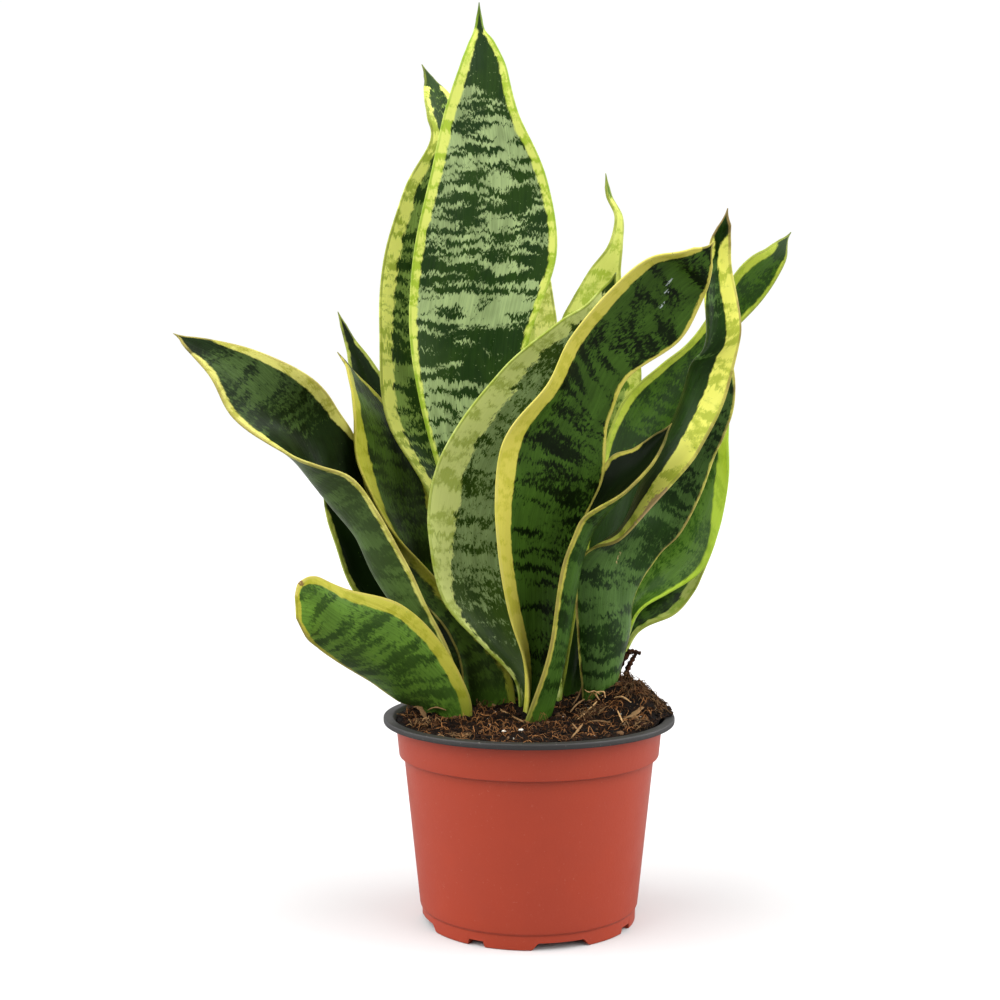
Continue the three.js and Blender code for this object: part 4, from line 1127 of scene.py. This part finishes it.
fibres = {
    "amount": 1500,
    "steps": 7,
    "inset": 2.5,
    "overEdge": -1.0,
    "leafGap": 1.6,
    "shortShare": 0.85,
    "shortLength": (2.0, 5),
    "longLength": (5, 10),
    "lowShare": 0.85,
    "lowLift": (0.1, 0.6),
    "highLift": (1.5, 3.5),
    "bow": 0.9,
    "flutter": (1.2, 0.8),
    "width": (0.08, 0.2),
    "tipWidth": 0.45,
    "curl": 0.28,
    "wander": 0.22,
    "sides": 4,
}


def makeFibres():
    chance = random.Random(soil["seed"] + 1)

    def rise(step):
        bow = lift * math.sin(math.pi * step / (fibres["steps"] - 1) * fibres["bow"])
        return thick + bow * fibres["flutter"][0 if chance.random() < 0.5 else 1]

    bits = []
    for _ in range(fibres["amount"]):
        turn = chance.uniform(0, 2 * math.pi)
        radius = (soilEdge(turn) - fibres["inset"]) * math.sqrt(chance.random())
        x, y = onCircle(turn, radius)
        heading, curl = chance.uniform(0, 2 * math.pi), chance.gauss(0, fibres["curl"])
        short = chance.random() < fibres["shortShare"]
        length = chance.uniform(*fibres["shortLength" if short else "longLength"])
        low = chance.random() < fibres["lowShare"]
        lift = chance.uniform(*fibres["lowLift" if low else "highLift"])
        lift = lift ** 1.5 * 3.0 if low else lift
        thick = chance.uniform(*fibres["width"])
        tone = chance.random() ** 2.5
        path = layStrand(chance, x, y, heading, curl, length, fibres, rise)
        if path:
            widths = thick * np.linspace(1.0, fibres["tipWidth"], len(path))
            bits.append((*tubeAlong(path, widths, fibres["sides"]), tone))
    makeLoosePiece("peat_fibres", "peat_fibres", bits)


# Single bits that can be told apart on the soil: points x, y and height over the soil, or over the
# foot of an upright bit, then width and paleness. flat makes a flake of it.
soilBits = {
    "long_twig": {"path": [(-19.2, 24.0, 1.2), (-10.9, 2.0, 1.4), (-2.5, -19.2, 0.9)],
                  "width": 0.5, "tone": 0.5},
    "twig_fork": {"path": [(-18.8, 22.0, 0.8), (-20.2, 23.0, 4.0), (-20.8, 24.0, 7.4)],
                  "width": 0.36, "tone": 0.3, "upright": True},
    "bright_straw": {"path": [(19.5, -14.8, 0.7), (23.8, -8.0, 1.6), (28.0, -1.6, 2.2)],
                     "width": 0.42, "tone": 1.0},
    "grey_flake": {"path": [(37.0, -16.8, 0.5), (41.5, -15.5, 1.5), (46.0, -9.8, 1.6)],
                   "width": 1.5, "tone": 0.35, "flat": 0.16},
    "red_flake": {"path": [(23.6, -19.3, 0.9), (27.5, -18.2, 1.7), (32.2, -19.8, 1.0)],
                  "width": 1.3, "tone": 0.22, "flat": 0.2},
    "heap_straw": {"path": [(35.3, 0.2, 1.0), (38.4, -3.2, 1.5), (41.6, -6.9, 1.0)],
                   "width": 0.36, "tone": 0.9},
    "small_straw": {"path": [(35.7, -13.1, 1.2), (37.0, -22.5, 0.8)], "width": 0.36, "tone": 0.95},
    "front_fork": {"path": [(15.7, -42.2, 0.7), (18.6, -33.0, 1.6), (20.8, -24.8, 1.0)],
                   "width": 0.42, "tone": 0.5},
    "front_branch": {"path": [(18.6, -33.0, 1.6), (16.6, -29.5, 2.2)], "width": 0.3, "tone": 0.45},
    "tan_twig": {"path": [(16.8, -4.6, 0.8), (19.5, -1.6, 1.9), (23.0, 1.6, 1.4)],
                 "width": 0.4, "tone": 0.4},
    "back_stick": {"path": [(18.1, 2.6, 0.7), (21.0, 10.0, 3.4), (23.0, 16.0, 5.2)],
                   "width": 0.4, "tone": 0.25},
    "pale_root": {"path": [(29.0, -3.0, 3.2), (27.6, -2.6, 5.8), (30.6, -2.8, 6.6), (31.4, -3.0, 4.2)],
                  "width": 0.34, "tone": 1.0, "upright": True},
    "root_curl": {"path": [(29.2, -3.2, 5.6), (27.0, -3.2, 7.0), (24.6, -3.4, 6.6), (22.8, -3.6, 7.6)],
                  "width": 0.2, "tone": 1.0, "upright": True},
    "bud_flake": {"path": [(-47.0, -4.0, 4.6), (-44.6, -5.5, 4.0), (-42.0, -7.5, 0.8)],
                  "width": 1.5, "tone": 0.3, "flat": 0.3},
    "dry_flake": {"path": [(-41.4, -6.0, 4.2), (-38.0, -6.6, 5.4), (-34.0, -6.2, 4.4)],
                  "width": 1.1, "tone": 0.42, "flat": 0.25},
    "left_root": {"path": [(-54.5, -1.0, 1.6), (-50.0, 2.0, 1.2), (-46.0, 1.0, 0.6)],
                  "width": 0.22, "tone": 0.4},
    "dead_stem": {"path": [(38.6, 34.0, -1.5), (39.0, 34.0, 4.5), (40.3, 34.0, 10.5), (44.0, 33.8, 16.4),
                           (46.5, 33.6, 16.9), (49.4, 33.5, 16.1)],
                  "width": 1.3, "tone": 0.0, "upright": True, "rough": 0.3},
    "dead_branch": {"path": [(41.2, 33.2, -1.5), (42.6, 33.2, 5.0), (43.9, 33.3, 10.3), (46.2, 33.5, 14.6),
                             (47.4, 33.5, 16.6)],
                    "width": 1.15, "tone": 0.0, "upright": True, "rough": 0.3},
}

# Tufts of rootlets: middle, half widths, amount, mean length, lift, paleness and, where most of them
# point one way, that heading in degrees.
rootTufts = {
    "left_tuft": ((-42.5, -18.5), (3.6, 2.4), 60, 4.5, 2.2, 0.8, None),
    "front_tuft": ((-28.5, -39.0), (5.5, 1.6), 40, 4.5, 1.0, 0.8, None),
    "middle_tuft": ((-22.5, 13.0), (4.0, 4.0), 50, 5.0, 3.6, 0.8, None),
    "heap_tuft": ((45.0, 8.0), (7.0, 9.0), 170, 6.0, 1.8, 0.3, -40.0),
    "edge_tuft": ((53.5, 3.0), (2.6, 9.0), 130, 4.5, 1.6, 0.3, -25.0),
    "right_tuft": ((44.0, -24.0), (5.0, 5.0), 90, 4.0, 1.6, 0.5, -60.0),
    "top_tuft": ((41.0, 22.0), (8.0, 5.0), 110, 5.0, 3.6, 0.35, None),
    "stem_tuft": ((24.0, -10.0), (5.0, 4.0), 70, 5.0, 2.4, 0.4, None),
}

rootlets = {
    "steps": 6,
    "scatter": 0.6,
    "headingShare": 0.7,
    "headingScatter": 30,
    "length": (0.5, 1.3),
    "lift": (0.2, 1.2),
    "bend": 0.35,
    "wander": 0.2,
    "overEdge": 0.4,
    "rise": 0.15,
    "bow": 0.5,
    "width": (0.12, 0.3),
    "tipWidth": 0.4,
    "leafGap": 1.5,
    "sides": 5,
}

singleBits = {
    "steps": 26,
    "sides": 8,
    "endShare": 0.1,
    "knots": (0.18, 23),  # depth and number along the bit
    "roughKnots": 60,
}


def makeSingleBit(bit):
    path = np.array(bit["path"], float)
    foot = soilHeight(*path[0, :2])
    for spot in path:
        spot[2] += foot if bit.get("upright") else soilHeight(spot[0], spot[1])
    shares = np.linspace(0, 1, singleBits["steps"])
    smooth = smoothRows(path, shares * (len(path) - 1))
    body = np.clip(shares, singleBits["endShare"], 1 - singleBits["endShare"])
    knotDepth, knotNumber = singleBits["knots"]
    if "rough" in bit:
        knotDepth, knotNumber = bit["rough"], singleBits["roughKnots"]
    widths = bit["width"] * (0.5 + 0.5 * np.sin(np.pi * body))
    widths *= 1 + knotDepth * np.sin(shares * knotNumber + path[0, 0])
    return *tubeAlong(smooth, widths, singleBits["sides"], bit.get("flat", 1.0)), bit["tone"]


def makeTuft(chance, middle, wide, amount, meanLength, meanLift, paleness, mainHeading):
    def rise(step):
        return rootlets["rise"] + lift * math.sin(step * rootlets["bow"])

    bits = []
    for _ in range(amount):
        x = middle[0] + chance.gauss(0, rootlets["scatter"]) * wide[0]
        y = middle[1] + chance.gauss(0, rootlets["scatter"]) * wide[1]
        heading = chance.uniform(0, 2 * math.pi)
        if mainHeading is not None and chance.random() < rootlets["headingShare"]:
            heading = math.radians(mainHeading + chance.gauss(0, rootlets["headingScatter"]))
        length = meanLength * chance.uniform(*rootlets["length"])
        lift = meanLift * chance.uniform(*rootlets["lift"])
        bend = chance.gauss(0, rootlets["bend"])
        path = layStrand(chance, x, y, heading, bend, length, rootlets, rise)
        if path:
            widths = chance.uniform(*rootlets["width"]) * np.linspace(1.0, rootlets["tipWidth"], len(path))
            strand = tubeAlong(path, widths, rootlets["sides"])
            bits.append((*strand, chance.random() ** 2 * paleness))
    return bits


def makeSoilBits():
    chance = random.Random(soil["seed"] + 2)
    bits = [makeSingleBit(bit) for bit in soilBits.values()]
    for tuft in rootTufts.values():
        bits += makeTuft(chance, *tuft)
    makeLoosePiece("peat_bits", "peat_bits", bits)


# White grains that can be told apart, x, y and radius, and the small ones strewn between.
grains = {
    "first_grain": (-10.5, -36.2, 0.95),
    "second_grain": (-3.9, -34.4, 1.0),
    "specks": 60,
    "speckSize": (0.16, 0.34),
    "inset": 3,
    "leafGap": 1.4,
    "dents": (0.8, 0.4, 1.5),  # least size, depth and pitch
    "stretch": (1.25, 0.6, 0.55),
    "rise": 0.25,
}


def makeGrains():
    chance = random.Random(soil["seed"] + 3)
    corners, triangles = ballPoints(2)
    spots = [grains["first_grain"], grains["second_grain"]]
    for _ in range(grains["specks"]):
        turn = chance.uniform(0, 2 * math.pi)
        radius = (soil["radius"] - grains["inset"]) * math.sqrt(chance.random())
        spots.append((*onCircle(turn, radius), chance.uniform(*grains["speckSize"])))
    bits = []
    for x, y, size in spots:
        if clearOfLeaves(x, y, grains["leafGap"] + size):
            lump = dentBall(corners, *grains["dents"], (x, y, 0)) * grains["stretch"] * size
            level = soilHeight(x, y) + size * 0.5 + grains["rise"]
            bits.append((lump + (x, y, level), triangles, 0.0))
    makeLoosePiece("pale_grains", "pale_grit", bits)


makeBed()
makeCrumbs()
makeFibres()
makeSoilBits()
makeGrains()
print("soil made")


# The nursery pot, turned about its axis: radius, height and corner rounding of each profile point,
# from the middle of the foot up the outside and down the inside. A notch is half its width in degrees
# and its height. The colours are the plain one, a deeper one and dust.
pot = {
    "segments": 360,
    "profile": [
        (0.0, 3.2, 0), (40.8, 3.2, 0.5), (40.8, 0.0, 0.4), (44.0, 0.0, 0.5), (44.2, 5.7, 0.5),
        (45.0, 6.5, 0.5), (51.5, 67.7, 0.5), (53.5, 68.2, 0.4), (54.8, 81.2, 0.5), (59.9, 81.7, 0.45),
        (60.0, 84.0, 0.7), (56.0, 84.0, 0.6), (53.5, 80.0, 1.0), (50.2, 66.7, 0.5), (43.6, 4.8, 0.6),
        (0.0, 4.8, 0),
    ],
    "cornerSteps": 4,
    "longestStep": 4.0,
    "footNotches": 8,
    "firstNotch": 16.0,
    "wideNotch": (15.5, 2.9),
    "smallNotch": (5.0, 2.4),
    "notchSlope": 0.2,
    "footRing": (40.0, 4.0),  # the notches cut what is wider and lower than this
    "footWall": (43.4, 5.2, 0.2),  # outer wall of the ring: radius, height and how far it leans out
    "rimBottom": 81.75,  # the dark rim starts here and goes over to the inside, down to the floor
    "rimEdge": 54.0,
    "insideStart": 0.6,
    "floorTop": 4.75,
    "sharpAngle": 40,
    "clay": {"colors": ("#a63b22", "#9a341e", "#d9a68f"), "dust": 0.12, "gloss": 0.36, "bump": 0.15},
    "rim": {"colors": ("#2a2827", "#1b1918", "#8a847b"), "dust": 0.5, "gloss": 0.5, "bump": 0.25},
    "specular": 0.5,
    "bumpDepth": 0.0003,
}

# The plastic's patterns as scale, detail and roughness; then where an effect starts and is full, and
# its values there.
plasticGrain = {"clouds": (45.0, 3.0, 0.55), "fine": (900.0, 3.0, 0.6), "specks": (700.0, 4.0, 0.7)}
plasticFades = {"specks": (0.62, 0.72), "deep": (0.3, 0.75, 0.0, 0.35), "wear": (0.4, 0.9, -0.05, 0.08)}


def roundedProfile(corners):
    line = [np.array(corners[0][:2])]
    for before, corner, after in zip(corners, corners[1:], corners[2:]):
        spot = np.array(corner[:2])
        toBefore, toAfter = np.array(before[:2]) - spot, np.array(after[:2]) - spot
        room = min(corner[2], np.linalg.norm(toBefore) * 0.45, np.linalg.norm(toAfter) * 0.45)
        start, end = spot + unit(toBefore) * room, spot + unit(toAfter) * room
        for step in range(pot["cornerSteps"] + 1):
            share = step / pot["cornerSteps"]
            line.append((1 - share) ** 2 * start + 2 * share * (1 - share) * spot + share ** 2 * end)
    line.append(np.array(corners[-1][:2]))
    return line


def shorterSteps(line):
    filled = [line[0]]
    for start, end in zip(line, line[1:]):
        parts = max(1, int(np.linalg.norm(end - start) / pot["longestStep"]))
        filled += [start + (end - start) * part / parts for part in range(1, parts + 1)]
    return np.array(filled)


def notchHeight(turn):
    highest = 0.0
    for number in range(pot["footNotches"]):
        half, height = pot["wideNotch"] if number % 2 == 0 else pot["smallNotch"]
        middle = -90 + pot["firstNotch"] + number * 360 / pot["footNotches"]
        apart = abs((turn - middle + 180) % 360 - 180)
        highest = max(highest, height * min(max((half - apart) / (half * pot["notchSlope"]), 0.0), 1.0))
    return highest


def makePotGroup():
    tree, given, made = newGroup("mouldedPlastic", ("Main", "Deep", "Dust"), ("Dust Share", "Gloss"))
    place = objectPlace(tree)
    clouds, fine, specks = (cloudiness(tree, place, *grain) for grain in plasticGrain.values())
    deep = smoothRise(tree, clouds, *plasticFades["deep"])
    dust = doMath(tree, "MULTIPLY", smoothRise(tree, specks, *plasticFades["specks"]), given["Dust Share"])
    color = mixColors(tree, dust, mixColors(tree, deep, given["Main"], given["Deep"]), given["Dust"])
    wear = doMath(tree, "ADD", clouds, doMath(tree, "MULTIPLY", fine, 0.3))
    roughness = doMath(tree, "ADD", given["Gloss"], smoothRise(tree, wear, *plasticFades["wear"]))
    relief = doMath(tree, "ADD", fine, doMath(tree, "MULTIPLY", clouds, 2.0))
    giveOut(tree, made, color, roughness, relief)
    return tree


potGroup = makePotGroup()


def makePlastic(name, look):
    main, deep, dust = (linearColor(color) for color in look["colors"])
    values = {"Main": main, "Deep": deep, "Dust": dust, "Dust Share": look["dust"], "Gloss": look["gloss"]}
    plain = {"Specular IOR Level": pot["specular"]}
    return newMaterial(name, potGroup, values, plain, look["bump"], pot["bumpDepth"])


def makePot():
    line = shorterSteps(roundedProfile(pot["profile"]))
    segments = pot["segments"]
    wallRadius, wallHeight, wallLean = pot["footWall"]
    points = [(0.0, 0.0, line[0][1])]
    for radius, height in line[1:-1]:
        for segment in range(segments):
            degrees = segment * 360 / segments
            notched = radius > pot["footRing"][0] and height < pot["footRing"][1]
            level = max(height, notchHeight(degrees) if notched else 0.0)
            lean = wallLean * (level - height) / wallHeight if radius > wallRadius else 0.0
            points.append((*onCircle(math.radians(degrees), radius + lean), level))
    points.append((0.0, 0.0, line[-1][1]))
    rings, last = len(line) - 2, len(points) - 1
    top = 1 + (rings - 1) * segments
    faces, facets = [], []
    for ring in range(rings - 1):
        radius, height = (line[ring + 1] + line[ring + 2]) / 2
        innerWall = ring > rings * pot["insideStart"] and radius <= pot["rimEdge"]
        dark = height > pot["rimBottom"] or innerWall and height > pot["floorTop"]
        low, high = 1 + ring * segments, 1 + (ring + 1) * segments
        for segment in range(segments):
            following = (segment + 1) % segments
            faces.append((low + segment, low + following, high + following, high + segment))
            facets.append(int(dark))
    for segment in range(segments):
        following = (segment + 1) % segments
        faces += [(0, 1 + following, 1 + segment), (last, top + segment, top + following)]
        facets += [0, 1]
    materials = [makePlastic("clay_plastic", pot["clay"]), makePlastic("rim_plastic", pot["rim"])]
    makePiece("turned_pot", points, faces, materials, ["pot"], facets, pot["sharpAngle"])


makePot()
print("pot made")


# Plain pale floor, soft light and the camera.
studio = {
    "floor": "#d0d0d0",
    "floorRadius": 6000.0,
    "floorSides": 64,
    "floorDrop": 0.05,
    "floorBounce": "#8a8a8a",
    "floorClouds": (3.0, 2.0, 0.5),
    "floorGrain": (400.0, 2.0, 0.5),
    "floorTone": (0.3, 0.7, 0.0, 0.05),
    "floorRoughness": (0.3, 0.7, 0.75, 0.85),
    "floorSpecular": 0.2,
    "floorBump": (0.02, 0.0001),
    "frontWorld": 0.1,
    "backWorld": 0.8,
    "worldChange": (-0.7, 0.5),  # from how far in front to how far behind
    "seenWorld": 1.02,
    "lamps": {  # strength, angle and direction
        "left_lamp": (3.7, 80.0, (0.95, 0.22, -0.5)),
        "right_lamp": (3.6, 80.0, (-0.95, 0.2, -0.45)),
        "top_lamp": (1.9, 100.0, (0.05, 0.45, -1.0)),
    },
    "lens": 53.64,
    "sensor": 36.0,
    "tilt": 87.26,
    "camera": (-4.42, -626.1, 201.8),
}


def makeFloor():
    tree, given, made = newGroup("paintedFloor", ("Main",))
    place = objectPlace(tree)
    clouds = cloudiness(tree, place, *studio["floorClouds"])
    paler = mixColors(tree, smoothRise(tree, clouds, *studio["floorTone"]), given["Main"], (1, 1, 1, 1))
    roughness = smoothRise(tree, clouds, *studio["floorRoughness"])
    giveOut(tree, made, paler, roughness, cloudiness(tree, place, *studio["floorGrain"]))
    values = {"Main": linearColor(studio["floor"])}
    plain = {"Specular IOR Level": studio["floorSpecular"]}
    material = newMaterial("floor_paint", tree, values, plain, *studio["floorBump"])
    nodes = material.node_tree
    shown = nodes.nodes["Principled BSDF"].inputs["Base Color"]
    seen = nodes.nodes.new("ShaderNodeLightPath").outputs["Is Camera Ray"]
    bounce = linearColor(studio["floorBounce"])
    feed(nodes, mixColors(nodes, seen, bounce, shown.links[0].from_socket), shown)
    sides, radius = studio["floorSides"], studio["floorRadius"] * mm
    turns = [2 * math.pi * step / sides for step in range(sides)]
    corners = [(*onCircle(turn, radius), -studio["floorDrop"] * mm) for turn in turns]
    mesh = bpy.data.meshes.new("floor")
    mesh.from_pydata(corners, [], [tuple(range(sides))])
    mesh.materials.append(material)
    floor = bpy.data.objects.new("floor", mesh)
    bpy.context.scene.collection.objects.link(floor)


def makeLight():
    world = bpy.data.worlds.new("studio")
    world.use_nodes = True
    tree = world.node_tree
    background = tree.nodes["Background"]
    background.inputs["Color"].default_value = (1.0, 1.0, 1.0, 1.0)
    seen = tree.nodes.new("ShaderNodeLightPath").outputs["Is Camera Ray"]
    direction = takeApart(tree, tree.nodes.new("ShaderNodeTexCoord").outputs["Generated"])
    lit = smoothRise(tree, direction[1], *studio["worldChange"], studio["frontWorld"], studio["backWorld"])
    strength = smoothRise(tree, seen, 0.0, 1.0, lit, studio["seenWorld"])
    feed(tree, strength, background.inputs["Strength"])
    bpy.context.scene.world = world
    for name, (power, angle, aim) in studio["lamps"].items():
        light = bpy.data.lights.new(name, "SUN")
        light.energy = power
        light.angle = math.radians(angle)
        holder = bpy.data.objects.new(name, light)
        holder.rotation_euler = Vector(aim).to_track_quat("-Z", "Y").to_euler()
        bpy.context.scene.collection.objects.link(holder)


def makeCamera():
    lens = bpy.data.cameras.new("viewer")
    lens.lens = studio["lens"]
    lens.sensor_width = studio["sensor"]
    lens.clip_start = 0.01
    lens.clip_end = 100.0
    camera = bpy.data.objects.new("viewer", lens)
    camera.location = [value * mm for value in studio["camera"]]
    camera.rotation_euler = (math.radians(studio["tilt"]), 0.0, 0.0)
    bpy.context.scene.collection.objects.link(camera)
    bpy.context.scene.camera = camera


makeFloor()
makeLight()
makeCamera()
bpy.context.scene.view_settings.view_transform = "Standard"

print("stage made")
